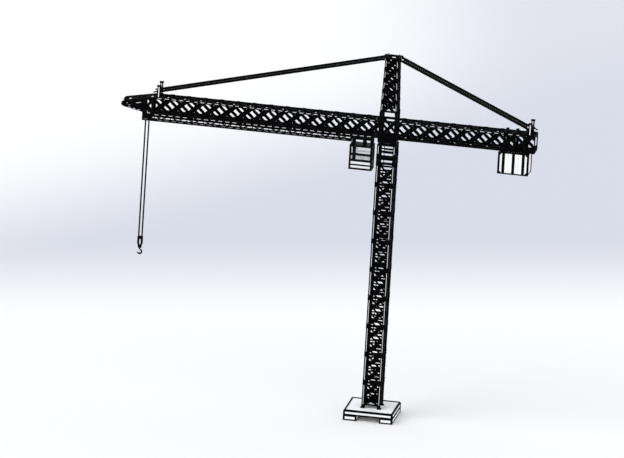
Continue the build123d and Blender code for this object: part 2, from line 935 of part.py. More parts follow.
def bar_frame(plane, uprights, rails, foot_posts):
    """A flat frame of level bars, with posts above the sill and end posts below it."""
    left, right = uprights[0][0] - uprights[0][1] / 2, uprights[-1][0] + uprights[-1][1] / 2
    low, high = rails[0][0] - rails[0][1] / 2, rails[-1][0] + rails[-1][1] / 2
    bars = [strip((x, cab_sill + width), (x, high), width) for x, width in uprights]
    bars += [strip((x, low), (x, cab_sill - width), width) for x, width in foot_posts]
    bars += [strip((left, z), (right, z), width) for z, width in rails]
    return lattice(plane, box_outline(left, right, low, high), bars)


def fill(plane, openings):
    """A plate in each of the openings."""
    with BuildSketch(plane) as plates:
        for middle, size in openings:
            with Locations(middle):
                Rectangle(*size)
    return plates.sketch


side_posts = [
    (-cab_outer + cab_bar / 2, cab_bar),
    (-cab_outer + cab_length * quarter_post_share, quarter_post),
    (-cab_inner - rear_post / 2, rear_post),
]
front_half = cab_width / 2 - cab_wall
front_posts = [(-front_half + cab_bar / 2, cab_bar), (front_half - cab_bar / 2, cab_bar)]
rear_posts = [(-front_half + cab_bar / 2, cab_bar), (-door_width / 2 - cab_bar / 2, cab_bar)]
other_rear_posts = [(-place, width) for place, width in reversed(rear_posts)]
side_wall = cab_width / 2 - cab_wall / 2
front_wall = -cab_outer + cab_wall / 2
rear_wall = -cab_inner - cab_wall / 2
foot_posts = [side_posts[0], (-cab_inner - cab_bar / 2, cab_bar)]
cab_faces = [
    (facing_y(-side_wall), side_posts, foot_posts),
    (facing_y(side_wall), side_posts, foot_posts),
    (facing_x(front_wall), front_posts, front_posts),
    (facing_x(rear_wall), rear_posts, rear_posts),
    (facing_x(rear_wall), other_rear_posts, other_rear_posts),
]

with BuildPart() as cab_floor:
    with Locations((cab_middle, 0, cab_low + cab_plate / 2)):
        Box(cab_length, cab_width, cab_plate)

with BuildPart() as cab_roof:
    with Locations((cab_middle, 0, wall_high + cab_plate / 2)):
        Box(cab_length, cab_width, cab_plate)

with BuildPart() as cab_side_frames:
    for plane, uprights, feet in cab_faces[:2]:
        extrude(bar_frame(plane, uprights, cab_rails, feet), amount=cab_wall / 2, both=True)

with BuildPart() as cab_front_frame:
    plane, uprights, feet = cab_faces[2]
    extrude(bar_frame(plane, uprights, cab_rails, feet), amount=cab_wall / 2, both=True)

with BuildPart() as cab_rear_frames:
    for plane, uprights, feet in cab_faces[3:]:
        extrude(bar_frame(plane, uprights, cab_rails, feet), amount=cab_wall / 2, both=True)

with BuildPart() as cab_panels:
    for plane, uprights, feet in cab_faces:
        extrude(fill(plane, cells(feet, cab_rails[:3])), amount=cab_panel / 2, both=True)

with BuildPart() as cab_windows:
    for plane, uprights, feet in cab_faces:
        extrude(fill(plane, cells(uprights, cab_rails[2:])), amount=cab_pane / 2, both=True)

with BuildPart() as cab_seat:
    seat_place = -cab_inner - cab_length * seat_place_share
    with Locations((seat_place, 0, wall_low + (seat_height - seat_cushion) / 2)):
        Box(seat_plinth, seat_plinth, seat_height - seat_cushion)
    with Locations((seat_place, 0, wall_low + seat_height - seat_cushion / 2)):
        Box(seat_side, seat_side, seat_cushion)
    with Locations(
        (seat_place + (seat_side - seat_back_depth) / 2, 0, wall_low + seat_height + seat_back_height / 2)
    ):
        Box(seat_back_depth, seat_side, seat_back_height)

with BuildPart() as cab_console:
    console_place = -cab_inner - cab_length * console_place_share
    with Locations((console_place, 0, wall_low + console_height / 2)):
        Box(console_depth, console_width, console_height)
    with Locations((console_place, 0, wall_low + (console_height - console_wall) / 2)):
        Box(
            console_depth - 2 * console_wall,
            console_width - 2 * console_wall,
            console_height - console_wall,
            mode=Mode.SUBTRACT,
        )

with BuildPart() as cab_hangers:
    beam_low = truss_low - hanger_beam_height
    beam_middle, beam_length = along(-rail_start, hanger_places[-1] + hanger_post / 2)
    with Locations((beam_middle, 0, beam_low + hanger_beam_height / 2)):
        with GridLocations(0, truss_spacing, 1, 2):
            Box(beam_length, hanger_beam_width, hanger_beam_height)
    post_middle, post_reach = along(cab_low + cab_height, beam_low)
    for x in hanger_places:
        with Locations((x, 0, beam_low + hanger_post / 2)):
            Box(hanger_post, truss_spacing - hanger_beam_width, hanger_post)
        with Locations((x, 0, post_middle)):
            with GridLocations(0, cab_width - hanger_post, 1, 2):
                Box(hanger_post, hanger_post, post_reach)

# trolley
plate_face = truss_half - rail_width / 2 - trolley_clearance
wheel_height = rail_low + rail_flange + wheel_clearance + wheel_radius
wheel_outside = truss_half + rail_width / 2 - rail_web - trolley_clearance
sheave_place = fall_half_gap + rope_radius + trolley_sheave_radius
wheel_places = [-trolley_place + side * trolley_length * wheel_place_share for side in (-1, 1)]


def sheave(place, height, radius):
    """A rope sheave across Y on its axle."""
    with BuildPart() as wheel:
        with BuildSketch(facing_y(0)) as rim:
            with Locations((place, height)):
                Circle(radius)
        extrude(rim.sketch, amount=sheave_width / 2, both=True)
        with BuildSketch(facing_y(0)) as axle:
            with Locations((place, height)):
                Circle(sheave_axle_radius)
        extrude(axle.sketch, amount=sheave_slot / 2, both=True)
    return wheel.part


with BuildPart() as trolley_frame:
    with Locations((-trolley_place, 0, wheel_height)):
        with GridLocations(0, 2 * plate_face - trolley_plate, 1, 2):
            Box(trolley_length, trolley_plate, trolley_height)
        with GridLocations(trolley_length - trolley_end_beam, 0, 2, 1):
            Box(trolley_end_beam, 2 * plate_face - trolley_plate, trolley_beam)
        Box(trolley_beam, 2 * plate_face - trolley_plate, trolley_beam)
        with GridLocations(0, sheave_slot + sheave_plate, 1, 2):
            Box(trolley_length, sheave_plate, sheave_plate_height)

with BuildPart() as trolley_wheels:
    for x in wheel_places:
        for side in (-1, 1):
            with BuildSketch(facing_y(side * plate_face)):
                with Locations((x, wheel_height)):
                    Circle(axle_radius)
            extrude(amount=-side * (wheel_outside - plate_face))
            with BuildSketch(facing_y(side * wheel_outside)):
                with Locations((x, wheel_height)):
                    Circle(wheel_radius)
            extrude(amount=side * wheel_width)

with BuildPart() as trolley_sheaves:
    for side in (-1, 1):
        add(sheave(-trolley_place + side * sheave_place, wheel_height, trolley_sheave_radius))

# hoist ropes and hook block
block_low = block_high - block_height
block_sheave_height = block_high - block_sheave_drop
crosshead_low = block_low - crosshead_height

with BuildPart() as hoist_ropes:
    with BuildSketch(Plane.XY.offset(block_sheave_height)):
        with Locations((-trolley_place, 0)):
            with GridLocations(2 * fall_half_gap, 0, 2, 1):
                Circle(rope_radius)
    extrude(amount=wheel_height - block_sheave_height)

cheek_outline = [
    (-block_foot_length / 2, block_low),
    (block_foot_length / 2, block_low),
    (block_length / 2, block_low + block_taper),
    (block_length / 2, block_high - block_corner),
    (block_length / 2 - block_corner, block_high),
    (block_corner - block_length / 2, block_high),
    (-block_length / 2, block_high - block_corner),
    (-block_length / 2, block_low + block_taper),
]

with BuildPart() as block_cheeks:
    for side in (-1, 1):
        with BuildSketch(facing_y(side * (sheave_slot + cheek_thickness) / 2)):
            with Locations((-trolley_place, 0)):
                Polygon(*cheek_outline, align=None)
            with Locations((-trolley_place, block_low + cheek_window_low + cheek_window_height / 2)):
                SlotOverall(cheek_window_height, cheek_window_width, rotation=90, mode=Mode.SUBTRACT)
        extrude(amount=cheek_thickness / 2, both=True)

with BuildPart() as block_sheave:
    add(sheave(-trolley_place, block_sheave_height, fall_half_gap - rope_radius))

with BuildPart() as block_crosshead:
    with Locations((-trolley_place, 0, crosshead_low + crosshead_height / 2)):
        Box(crosshead_length, crosshead_width, crosshead_height)
    pocket_low = crosshead_low + crosshead_floor
    with Locations((-trolley_place, 0, (pocket_low + block_low) / 2)):
        Box(nut_pocket_length, nut_pocket_width, block_low - pocket_low, mode=Mode.SUBTRACT)
    with BuildSketch(Plane.XY.offset(crosshead_low)):
        with Locations((-trolley_place, 0)):
            Circle(stem_radius + stem_clearance)
    extrude(amount=crosshead_floor, mode=Mode.SUBTRACT)

# hook: an open ring, thickest at its foot and tapering to its tip, under a shank that turns in the crosshead
hook_centre = (-trolley_place, block_high - hook_drop)
shank_low = hook_centre[1] + hook_ring_radius

with BuildPart() as hook:
    with BuildLine(facing_y(0)) as bend:
        CenterArc(hook_centre, hook_ring_radius, 90, -hook_sweep)
    for place_share, radius_share in zip(hook_place_shares, hook_radius_shares):
        normal = bend.line % place_share
        with BuildSketch(Plane(origin=bend.line @ place_share, x_dir=(0, 1, 0), z_dir=normal)):
            Circle(hook_thickness * radius_share)
    sweep(path=bend.line, multisection=True)
    with Locations(bend.line @ 1):
        Sphere(hook_thickness * hook_radius_shares[-1])
    with BuildSketch(Plane.XY.offset(shank_low)):
        with Locations((-trolley_place, 0)):
            Circle(shank_radius)
    extrude(amount=crosshead_low - swivel_gap - shank_low)
    with BuildSketch(Plane.XY.offset(crosshead_low - swivel_gap)):
        with Locations((-trolley_place, 0)):
            Circle(stem_radius)
    extrude(amount=swivel_gap + crosshead_floor + stem_clearance)
    with BuildSketch(Plane.XY.offset(crosshead_low + crosshead_floor + stem_clearance)):
        with Locations((-trolley_place, 0)):
            RegularPolygon(hook_nut_radius, 6)
    extrude(amount=hook_nut_height)

os.makedirs("parts", exist_ok=True)
nodes = {
    "base_slab": base_slab,
    "base_runners": base_runners,
    "base_slab_edges": base_slab_edges,
    "base_runner_edges": base_runner_edges,
    "anchor_feet": anchor_feet,
    "mast_legs": mast_legs,
    "mast_lattice_x": mast_lattice_x,
    "mast_lattice_y": mast_lattice_y,
    "mast_ladder": mast_ladder,
    "mast_top_frame": mast_top_frame,
    "slew_ring_fixed": slew_ring_fixed,
    "slew_ring_turning": slew_ring_turning,
    "turntable": turntable,
    "portal_sides": portal_sides,
    "portal_cross_beams": portal_cross_beams,
    "tower_head_legs": tower_head_legs,
    "tower_head_lattice_x": tower_head_lattice_x,
    "tower_head_lattice_y": tower_head_lattice_y,
    "tower_cap": tower_cap,
    "jib_chords": jib_chords,
    "jib_side_lattices": jib_side_lattices,
    "jib_top_lattice": jib_top_lattice,
    "jib_bottom_lattice": jib_bottom_lattice,
    "jib_nose_sides": jib_nose_sides,
    "jib_nose_flats": jib_nose_flats,
    "jib_nose_cross_beam": jib_nose_cross_beam,
    "jib_nose_drum": jib_nose_drum,
    "jib_rails": jib_rails,
    "jib_rail_lattices": jib_rail_lattices,
    "counter_jib_chords": counter_jib_chords,
    "counter_jib_side_lattices": counter_jib_side_lattices,
    "counter_jib_top_lattice": counter_jib_top_lattice,
    "counter_jib_bottom_lattice": counter_jib_bottom_lattice,
    "counter_jib_end_frame": counter_jib_end_frame,
    "jib_tie_posts": jib_tie_posts,
    "jib_ties": jib_ties,
    "counter_jib_tie_posts": counter_jib_tie_posts,
    "counter_jib_ties": counter_jib_ties,
    "counterweights": counterweights,
    "counterweight_edges": counterweight_edges,
    "counterweight_yokes": counterweight_yokes,
    "cab_floor": cab_floor,
    "cab_roof": cab_roof,
    "cab_side_frames": cab_side_frames,
    "cab_front_frame": cab_front_frame,
    "cab_rear_frames": cab_rear_frames,
    "cab_panels": cab_panels,
    "cab_windows": cab_windows,
    "cab_seat": cab_seat,
    "cab_console": cab_console,
    "cab_hangers": cab_hangers,
    "trolley_frame": trolley_frame,
    "trolley_wheels": trolley_wheels,
    "trolley_sheaves": trolley_sheaves,
    "hoist_ropes": hoist_ropes,
    "block_cheeks": block_cheeks,
    "block_sheave": block_sheave,
    "block_crosshead": block_crosshead,
    "hook": hook,
}
for name, node in nodes.items():
    node.part.label = name
    export_step(node.part, f"parts/{name}.step")
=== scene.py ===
import bpy
import numpy as np
from mathutils import Matrix, Vector


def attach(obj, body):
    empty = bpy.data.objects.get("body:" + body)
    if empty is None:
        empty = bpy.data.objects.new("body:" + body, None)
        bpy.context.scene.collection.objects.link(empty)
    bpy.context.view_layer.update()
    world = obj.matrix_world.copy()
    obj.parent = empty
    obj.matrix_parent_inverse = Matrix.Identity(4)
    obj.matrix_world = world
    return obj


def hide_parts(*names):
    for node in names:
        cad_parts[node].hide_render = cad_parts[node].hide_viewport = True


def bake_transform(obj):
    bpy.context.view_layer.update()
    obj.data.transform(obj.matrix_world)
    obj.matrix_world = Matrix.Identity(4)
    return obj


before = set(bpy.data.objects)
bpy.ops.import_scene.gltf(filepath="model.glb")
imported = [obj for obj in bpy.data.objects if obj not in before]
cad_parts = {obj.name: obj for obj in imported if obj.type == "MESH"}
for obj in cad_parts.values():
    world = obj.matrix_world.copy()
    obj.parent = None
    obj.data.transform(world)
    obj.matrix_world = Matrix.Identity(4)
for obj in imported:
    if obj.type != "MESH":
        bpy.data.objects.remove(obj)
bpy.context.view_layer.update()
print("crane loaded:", len(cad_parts), "nodes")

# the photograph's view: parallel edges, seen from a little above
view = dict(azimuth=8.8, elevation=15.7, roll=3.47, across=52.0, right=-4.96, up=15.59, away=90.0, reach=400.0)

azimuth, elevation, roll = np.radians([view["azimuth"], view["elevation"], view["roll"]])
back = Vector((np.sin(azimuth) * np.cos(elevation), -np.cos(azimuth) * np.cos(elevation), np.sin(elevation)))
level = Vector((np.cos(azimuth), np.sin(azimuth), 0.0))
upright = back.cross(level)
camRight = level * np.cos(roll) + upright * np.sin(roll)
camUp = upright * np.cos(roll) - level * np.sin(roll)
camData = bpy.data.cameras.new("camera")
camData.type = "ORTHO"
camData.ortho_scale = view["across"]
camData.clip_end = view["reach"]
camera = bpy.data.objects.new("camera", camData)
turn = Matrix((camRight, camUp, back)).transposed().to_4x4()
camera.matrix_world = Matrix.Translation(camRight * view["right"] + camUp * view["up"] + back * view["away"]) @ turn
bpy.context.scene.collection.objects.link(camera)
bpy.context.scene.camera = camera


# a shader socket that takes part in Python sums: each operator adds a Math node
class Sock:
    def __init__(self, tree, socket=None):
        self.tree, self.socket = tree, socket

    def node(self, kind, settings=None, inputs=None, out=0):
        made = self.tree.nodes.new(kind)
        for key, value in (settings or {}).items():
            setattr(made, key, value)
        for key, value in (inputs or {}).items():
            if isinstance(value, Sock):
                self.tree.links.new(value.socket, made.inputs[key])
            else:
                made.inputs[key].default_value = value
        return Sock(self.tree, made.outputs[out])

    def maths(self, operation, first, second=0.0):
        return self.node("ShaderNodeMath", {"operation": operation}, {0: first, 1: second})

    def __add__(self, other):
        return self.maths("ADD", self, other)

    def __sub__(self, other):
        return self.maths("SUBTRACT", self, other)

    def __rsub__(self, other):
        return self.maths("SUBTRACT", other, self)

    def __mul__(self, other):
        return self.maths("MULTIPLY", self, other)

    def __truediv__(self, other):
        return self.maths("DIVIDE", self, other)

    def __gt__(self, other):
        return self.maths("GREATER_THAN", self, other)

    def __abs__(self):
        return self.maths("ABSOLUTE", self)

    __radd__ = __add__
    __rmul__ = __mul__

    # 0 under low, 1 over high, rounded between
    def smooth(self, low, high):
        limits = {"Value": self, "From Min": low, "From Max": high}
        return self.node("ShaderNodeMapRange", {"interpolation_type": "SMOOTHSTEP"}, limits)


# a new material, its shader, and the place on the object that its patterns follow
def startMaterial(name):
    mat = bpy.data.materials.new(name)
    mat.use_nodes = True
    place = Sock(mat.node_tree).node("ShaderNodeTexCoord", out="Object")
    return mat, mat.node_tree.nodes["Principled BSDF"], place


# cloudy noise, drawn out along an axis where a stretch is given
def noise(place, scale, detail=3.0, rough=0.55, stretch=None):
    if stretch:
        place = place.node("ShaderNodeMapping", {}, {"Vector": place, "Scale": stretch})
    inputs = {"Vector": place, "Scale": scale, "Detail": detail, "Roughness": rough}
    return place.node("ShaderNodeTexNoise", {}, inputs)


# distance from the nearest of many scattered points
def cracks(place, scale):
    return place.node("ShaderNodeTexVoronoi", {}, {"Vector": place, "Scale": scale}, "Distance")


# a share of the first, and the second for the rest
def mixed(first, second, share):
    return first * share + second * (1.0 - share)


# low where share is 0, high where it is 1; either end is a colour or a socket
def blendColours(share, low, high):
    low, high = (end if isinstance(end, Sock) else (*end, 1.0) for end in (low, high))
    return share.node("ShaderNodeMix", {"data_type": "RGBA"}, {0: share, 6: low, 7: high}, 2)


def join(shader, name, value):
    value.tree.links.new(value.socket, shader.inputs[name])


def bump(height, strength, distance):
    return height.node("ShaderNodeBump", {}, {"Height": height, "Strength": strength, "Distance": distance})


# one of a vector's three parts
def axisOf(vector, axis):
    return vector.node("ShaderNodeSeparateXYZ", {}, {"Vector": vector}, axis)


# paint on steel: sun-faded patches, run marks, dust on what faces up, chips down to the primer
def paintedSteel(name, look):
    mat, shader, place = startMaterial(name)
    shader.inputs["Specular IOR Level"].default_value = look["gloss"]
    broad = noise(place, look["broad"], detail=4.0)
    fine = noise(place, look["fine"], detail=2.0)
    streak = noise(place, look["fine"] * look["streaks"], rough=0.6, stretch=look["downwards"])
    facingUp = axisOf(place.node("ShaderNodeNewGeometry", out="Normal"), "Z")
    dust = facingUp.smooth(*look["lying"]) * broad.smooth(*look["dusty"]) * look["dust"]
    chips = mixed(fine, broad, look["fineShare"]).smooth(look["chip"], look["chip"] + look["chipEdge"])
    coat = blendColours(broad.smooth(*look["patches"]), look["colour"], look["faded"])
    coat = blendColours(streak.smooth(*look["runs"]) * look["runShare"], coat, look["faded"])
    coat = blendColours(dust, coat, look["dustColour"])
    join(shader, "Base Color", blendColours(chips, coat, look["under"]))
    sheen = broad * look["uneven"] + look["rough"] - look["uneven"] / 2
    join(shader, "Roughness", sheen + chips * look["chipRough"])
    join(shader, "Metallic", chips * look["bare"])
    join(shader, "Normal", bump(mixed(fine, streak, look["fineShare"]), look["peel"], look["peelDepth"]))
    return mat


towerPaint = dict(
    colour=(0.0012, 0.0012, 0.0014), faded=(0.003, 0.003, 0.0034), under=(0.02, 0.017, 0.016),
    dustColour=(0.0035, 0.0035, 0.0033), dust=0.5, chip=0.69, chipEdge=0.03, rough=0.6, bare=0.2, gloss=0.02,
    broad=1.1, fine=24.0, downwards=(1.0, 1.0, 0.12), peel=0.18, peelDepth=0.003,
    patches=(0.3, 0.7), runs=(0.55, 0.8), lying=(0.35, 0.95), dusty=(0.35, 0.75),
    streaks=0.25, fineShare=0.6, runShare=0.5, uneven=0.2, chipRough=0.15,
)
edgePaint = dict(towerPaint, chip=0.68, dust=0.35, broad=2.3)
machinePaint = dict(
    towerPaint, faded=(0.005, 0.005, 0.0055), under=(0.06, 0.058, 0.056),
    chip=0.7, bare=0.3, rough=0.5, broad=5.0, fine=60.0, peelDepth=0.001, gloss=0.04,
)
cabFramePaint = dict(towerPaint, rough=0.45, dust=0.3, broad=3.0, chip=0.72, gloss=0.06)
cabPaint = dict(
    towerPaint, colour=(0.86, 0.87, 0.88), faded=(0.78, 0.79, 0.81), under=(0.42, 0.41, 0.40),
    dustColour=(0.64, 0.63, 0.6), chip=0.74, rough=0.36, bare=0.4, gloss=0.5,
    broad=2.2, fine=90.0, peel=0.12, peelDepth=0.0008,
)
facePaint = dict(cabPaint, colour=(0.96, 0.96, 0.96), faded=(0.88, 0.88, 0.88), rough=0.5, broad=1.4)


# bare machined steel under a film of grease
def bearingSteel(name, look):
    mat, shader, place = startMaterial(name)
    fine = noise(place, look["fine"], detail=2.0)
    grease = mixed(noise(place, look["broad"]), fine, look["broadShare"]).smooth(*look["greased"])
    join(shader, "Base Color", blendColours(grease, look["steel"], look["grease"]))
    join(shader, "Metallic", (1.0 - grease * look["hides"]) * look["bare"])
    shader.inputs["Specular IOR Level"].default_value = look["gloss"]
    join(shader, "Roughness", look["rough"] + fine * look["uneven"] - grease * look["slick"])
    join(shader, "Normal", bump(fine, look["grain"], look["grainDepth"]))
    return mat


ringLook = dict(
    steel=(0.05, 0.0495, 0.0485), grease=(0.006, 0.0055, 0.005),
    broad=7.0, fine=70.0, rough=0.36, bare=1.0, gloss=0.5,
    broadShare=0.7, greased=(0.45, 0.62), hides=0.8, uneven=0.1, slick=0.12, grain=0.15, grainDepth=0.001,
)
sheaveLook = dict(ringLook, steel=(0.07, 0.069, 0.0675), broad=14.0, fine=120.0)
ropeLook = dict(
    ringLook, steel=(0.004, 0.004, 0.0045), grease=(0.0015, 0.0015, 0.0015),
    broad=3.0, fine=150.0, rough=0.6, bare=0.1, gloss=0.03,
)


# concrete cast between boards: clouds, pores, run marks and a fine ridge at each board's edge
def castConcrete(name, look):
    mat, shader, place = startMaterial(name)
    cloud = noise(place, look["cloud"], detail=5.0, rough=0.6)
    grit = noise(place, look["grit"], rough=0.7)
    pored = noise(place, look["pores"] * look["poredScale"], detail=1.0) > look["pored"]
    pit = (1.0 - cracks(place, look["pores"]).smooth(*look["pit"])) * pored
    run = noise(place, look["cloud"] * look["runScale"], rough=0.5, stretch=look["downwards"])
    run = run.smooth(*look["runEdge"])
    board = place.maths("FRACT", axisOf(place, "Z") / look["board"])
    ridge = (abs(board - 0.5) * 2.0).smooth(look["ridge"], 1.0)
    colour = blendColours(cloud.smooth(*look["clouds"]), look["pale"], look["grey"])
    # run marks darken as stains, and the pores are darker in colour as well
    colour = blendColours(run * look["runs"] + pit * look["pitDarkening"], colour, look["stainAndPitTone"])
    join(shader, "Base Color", colour)
    join(shader, "Roughness", grit * look["uneven"] + look["rough"])
    height = grit * look["gritHeight"] - pit * look["pitHeight"] + ridge * look["ridgeHeight"]
    join(shader, "Normal", bump(height, look["relief"], look["depth"]))
    return mat


baseLook = dict(
    pale=(0.97, 0.97, 0.965), grey=(0.92, 0.92, 0.915), stainAndPitTone=(0.66, 0.655, 0.64),
    cloud=0.9, clouds=(0.3, 0.72), grit=38.0, pores=16.0, pored=0.52, pit=(0.10, 0.22),
    board=0.2, ridge=0.93, runs=0.25, runEdge=(0.52, 0.8), downwards=(1.0, 1.0, 0.14), depth=0.008,
    poredScale=0.35, runScale=2.2, pitDarkening=0.6, uneven=0.16, rough=0.76,
    gritHeight=0.35, pitHeight=0.8, ridgeHeight=0.5, relief=0.55,
)
weightLook = dict(baseLook, cloud=1.3, board=0.315)


# clear sheet with wiped smears, which dull it and hold back a little more light
def windowGlass(name, look):
    mat, shader, place = startMaterial(name)
    smear = noise(place, look["smear"], detail=4.0, rough=0.6, stretch=look["wiped"])
    shader.inputs["Base Color"].default_value = (*look["colour"], 1.0)
    shader.inputs["IOR"].default_value = look["bend"]
    join(shader, "Roughness", smear.smooth(*look["dullEdge"]) * look["dull"] + look["rough"])
    join(shader, "Alpha", smear.smooth(*look["filmEdge"]) * look["film"] + look["solid"])
    return mat


glassLook = dict(
    colour=(0.96, 0.97, 0.98), bend=1.5, smear=3.0, wiped=(1.0, 1.0, 0.35),
    dull=0.12, dullEdge=(0.35, 0.8), rough=0.03, film=0.12, filmEdge=(0.3, 0.85), solid=0.26,
)


# moulded plastic and rubber: hazy worn patches over a fine grain
def mouldedPlastic(name, look):
    mat, shader, place = startMaterial(name)
    haze = noise(place, look["haze"])
    join(shader, "Base Color", blendColours(haze.smooth(*look["wornEdge"]), look["colour"], look["worn"]))
    join(shader, "Roughness", haze * look["uneven"] + look["rough"])
    join(shader, "Normal", bump(cracks(place, look["grain"]), look["relief"], look["grainDepth"]))
    return mat


consoleLook = dict(
    colour=(0.10, 0.104, 0.11), worn=(0.15, 0.152, 0.156), grain=420.0, rough=0.5,
    haze=6.0, wornEdge=(0.3, 0.75), uneven=0.18, relief=0.25, grainDepth=0.0006,
)
rubberLook = dict(consoleLook, colour=(0.012, 0.012, 0.012), worn=(0.03, 0.03, 0.03), grain=260.0, rough=0.62)


# a plain weave: threads both ways, worn paler in patches
def seatCloth(name, look):
    mat, shader, place = startMaterial(name)
    east, north, rise = (axisOf(place, axis) for axis in "XYZ")
    warp = place.maths("SINE", (east + rise) * look["threads"])
    weft = place.maths("SINE", north * look["threads"])
    cloth = warp * weft * 0.5 + 0.5
    worn = noise(place, look["patches"]).smooth(*look["wornEdge"])
    colour = blendColours(cloth * look["weaveShare"], look["colour"], look["light"])
    join(shader, "Base Color", blendColours(worn * look["wornShare"], colour, look["light"]))
    join(shader, "Roughness", worn * look["uneven"] + look["rough"])
    join(shader, "Normal", bump(cloth, look["relief"], look["threadDepth"]))
    shader.inputs["Sheen Weight"].default_value = look["sheen"]
    return mat


clothLook = dict(
    colour=(0.018, 0.018, 0.02), light=(0.055, 0.056, 0.06), threads=1500.0, sheen=0.25, weaveShare=0.6,
    patches=9.0, wornEdge=(0.4, 0.75), wornShare=0.4, uneven=0.08, rough=0.84, relief=0.4, threadDepth=0.0012,
)

towerSteel = paintedSteel("tower_steel", towerPaint)
edgeSteel = paintedSteel("edge_steel", edgePaint)
machineSteel = paintedSteel("machine_steel", machinePaint)
cabFrameSteel = paintedSteel("cab_frame_steel", cabFramePaint)
cabSheet = paintedSteel("cab_sheet", cabPaint)
paleSheet = paintedSteel("pale_sheet", facePaint)
ringMetal = bearingSteel("ring_steel", ringLook)
sheaveMetal = bearingSteel("sheave_steel", sheaveLook)
ropeMetal = bearingSteel("rope_steel", ropeLook)
slabConcrete = castConcrete("slab_concrete", baseLook)
blockConcrete = castConcrete("block_concrete", weightLook)
cabGlass = windowGlass("cab_glass", glassLook)
consoleSkin = mouldedPlastic("console_plastic", consoleLook)
rubber = mouldedPlastic("rubber", rubberLook)
seatFabric = seatCloth("seat_cloth", clothLook)

finishOf = {
    "base_slab": slabConcrete, "base_runners": slabConcrete, "counterweights": blockConcrete,
    "base_slab_edges": edgeSteel, "base_runner_edges": edgeSteel, "counterweight_edges": edgeSteel,
    "slew_ring_fixed": ringMetal, "slew_ring_turning": ringMetal,
    "trolley_wheels": sheaveMetal, "trolley_sheaves": sheaveMetal, "block_sheave": sheaveMetal,
    "cab_side_frames": cabFrameSteel, "cab_front_frame": cabFrameSteel, "cab_rear_frames": cabFrameSteel,
    "cab_floor": cabFrameSteel, "cab_roof": cabFrameSteel, "cab_panels": cabSheet, "cab_windows": cabGlass,
    "cab_console": consoleSkin, "cab_seat": seatFabric, "hoist_ropes": ropeMetal,
    "block_cheeks": machineSteel, "block_crosshead": machineSteel, "hook": machineSteel,
    "trolley_frame": machineSteel,
}
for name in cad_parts:
    node = bpy.data.objects[name]
    node.data.materials.clear()
    node.data.materials.append(finishOf.get(name, towerSteel))
print("finishes on", len(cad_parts), "nodes")

xAxis, yAxis, zAxis = np.eye(3)


# each vector over its own length
def unit(vectors):
    return vectors / np.linalg.norm(vectors, axis=-1, keepdims=True)


# every combination of the values given for each axis, as points
def combos(*values):
    return np.stack(np.meshgrid(*values, indexing="ij"), axis=-1).reshape(-1, len(values)).astype(float)


# points (x, y) raised to a height
def raised(points, height):
    return np.concatenate([points, np.full((len(points), 1), height)], axis=1)


# directions at angles u: cos u first + sin u second
def roundAxis(angle, first, second):
    return np.cos(angle)[..., None] * first + np.sin(angle)[..., None] * second


# even angles round a circle, the first one the given share of a step past zero
def turns(count, shift=0.0):
    return 2 * np.pi * (np.arange(count) + shift) / count


# walls between neighbouring loops, loops[shape, loop, point, xyz], wound outwards, with a cap at both ends.
# Points run counter-clockwise round the way in which the loops advance.
def skin(loops, closed=False):
    shapes, rows, around, _ = loops.shape
    index = np.arange(shapes * rows * around).reshape(shapes, rows, around)
    here = index if closed else index[:, :-1]
    there = np.roll(index, -1, axis=1) if closed else index[:, 1:]
    walls = np.stack([here, np.roll(here, -1, axis=2), np.roll(there, -1, axis=2), there], axis=-1)
    caps = [] if closed else [index[:, 0, ::-1], index[:, -1]]
    return loops.reshape(-1, 3), [walls.reshape(-1, 4), *caps]


# axes across a direction: rise leans the way given, and side, rise and along are right-handed
def across(along, lean):
    side = unit(np.cross(lean, along))
    return side, np.cross(along, side)


# prisms: P(end, k) = end + outline_side(k) side + outline_rise(k) rise
def bars(starts, ends, outline, lean):
    starts, ends = np.broadcast_arrays(np.atleast_2d(starts), np.atleast_2d(ends))
    side, rise = across(unit(ends - starts), lean)
    outline = np.asarray(outline)
    section = outline[:, :1] * side[:, None] + outline[:, 1:] * rise[:, None]
    return skin(np.stack([starts[:, None] + section, ends[:, None] + section], axis=1))


# turned shapes: P(i, u) = centre + along_i axis + radius_i (side cos u + rise sin u)
def turned(centres, axis, profile, steps, closed=False):
    centres, axis = np.broadcast_arrays(np.atleast_2d(centres), axis)
    standing = np.abs(axis[:, 2:]) > 0.9
    side, rise = across(axis, np.where(standing, xAxis, zAxis))
    spokes = roundAxis(turns(steps, 0.5), side[:, None], rise[:, None])
    profile = np.asarray(profile)
    middles = centres[:, None] + profile[:, :1] * axis[:, None]
    return skin(middles[:, :, None] + profile[None, :, 1, None, None] * spokes[:, None], closed)


# a round section carried along paths[shape, point]: P(t, u) = path(t) + radius (side cos u + rise sin u)
def swept(paths, radius, steps, lean):
    side, rise = across(unit(np.gradient(paths, axis=1)), lean)
    return skin(paths[:, :, None] + radius * roundAxis(turns(steps), side[:, :, None], rise[:, :, None]))


# a rectangle's corners, counter-clockwise: half its width and height either way from (aside, up)
def oblong(width, height, aside=0.0, up=0.0):
    return np.array([(-1, -1), (1, -1), (1, 1), (-1, 1)]) * (width / 2, height / 2) + (aside, up)


# a gusset's outline: a foot as wide as 2 half, upright to the shoulder, then narrowing to 2 top at its height
def gussetOutline(half, shoulder, top, height):
    return [(-half, 0), (half, 0), (half, shoulder), (top, height), (-top, height), (-half, shoulder)]


# shares of a bolt's radius and of its height
boltShape = dict(washer=1.5, crown=0.8, washerTop=0.2, shoulder=0.85)


# hexagon heads on round washers, standing on a face
def bolts(places, axis, radius, height):
    wide, top = radius * boltShape["washer"], height * boltShape["washerTop"]
    head = [(top, radius), (height * boltShape["shoulder"], radius), (height, radius * boltShape["crown"])]
    return [turned(places, axis, [(0, wide), (top, wide)], steps=8), turned(places, axis, head, steps=6)]


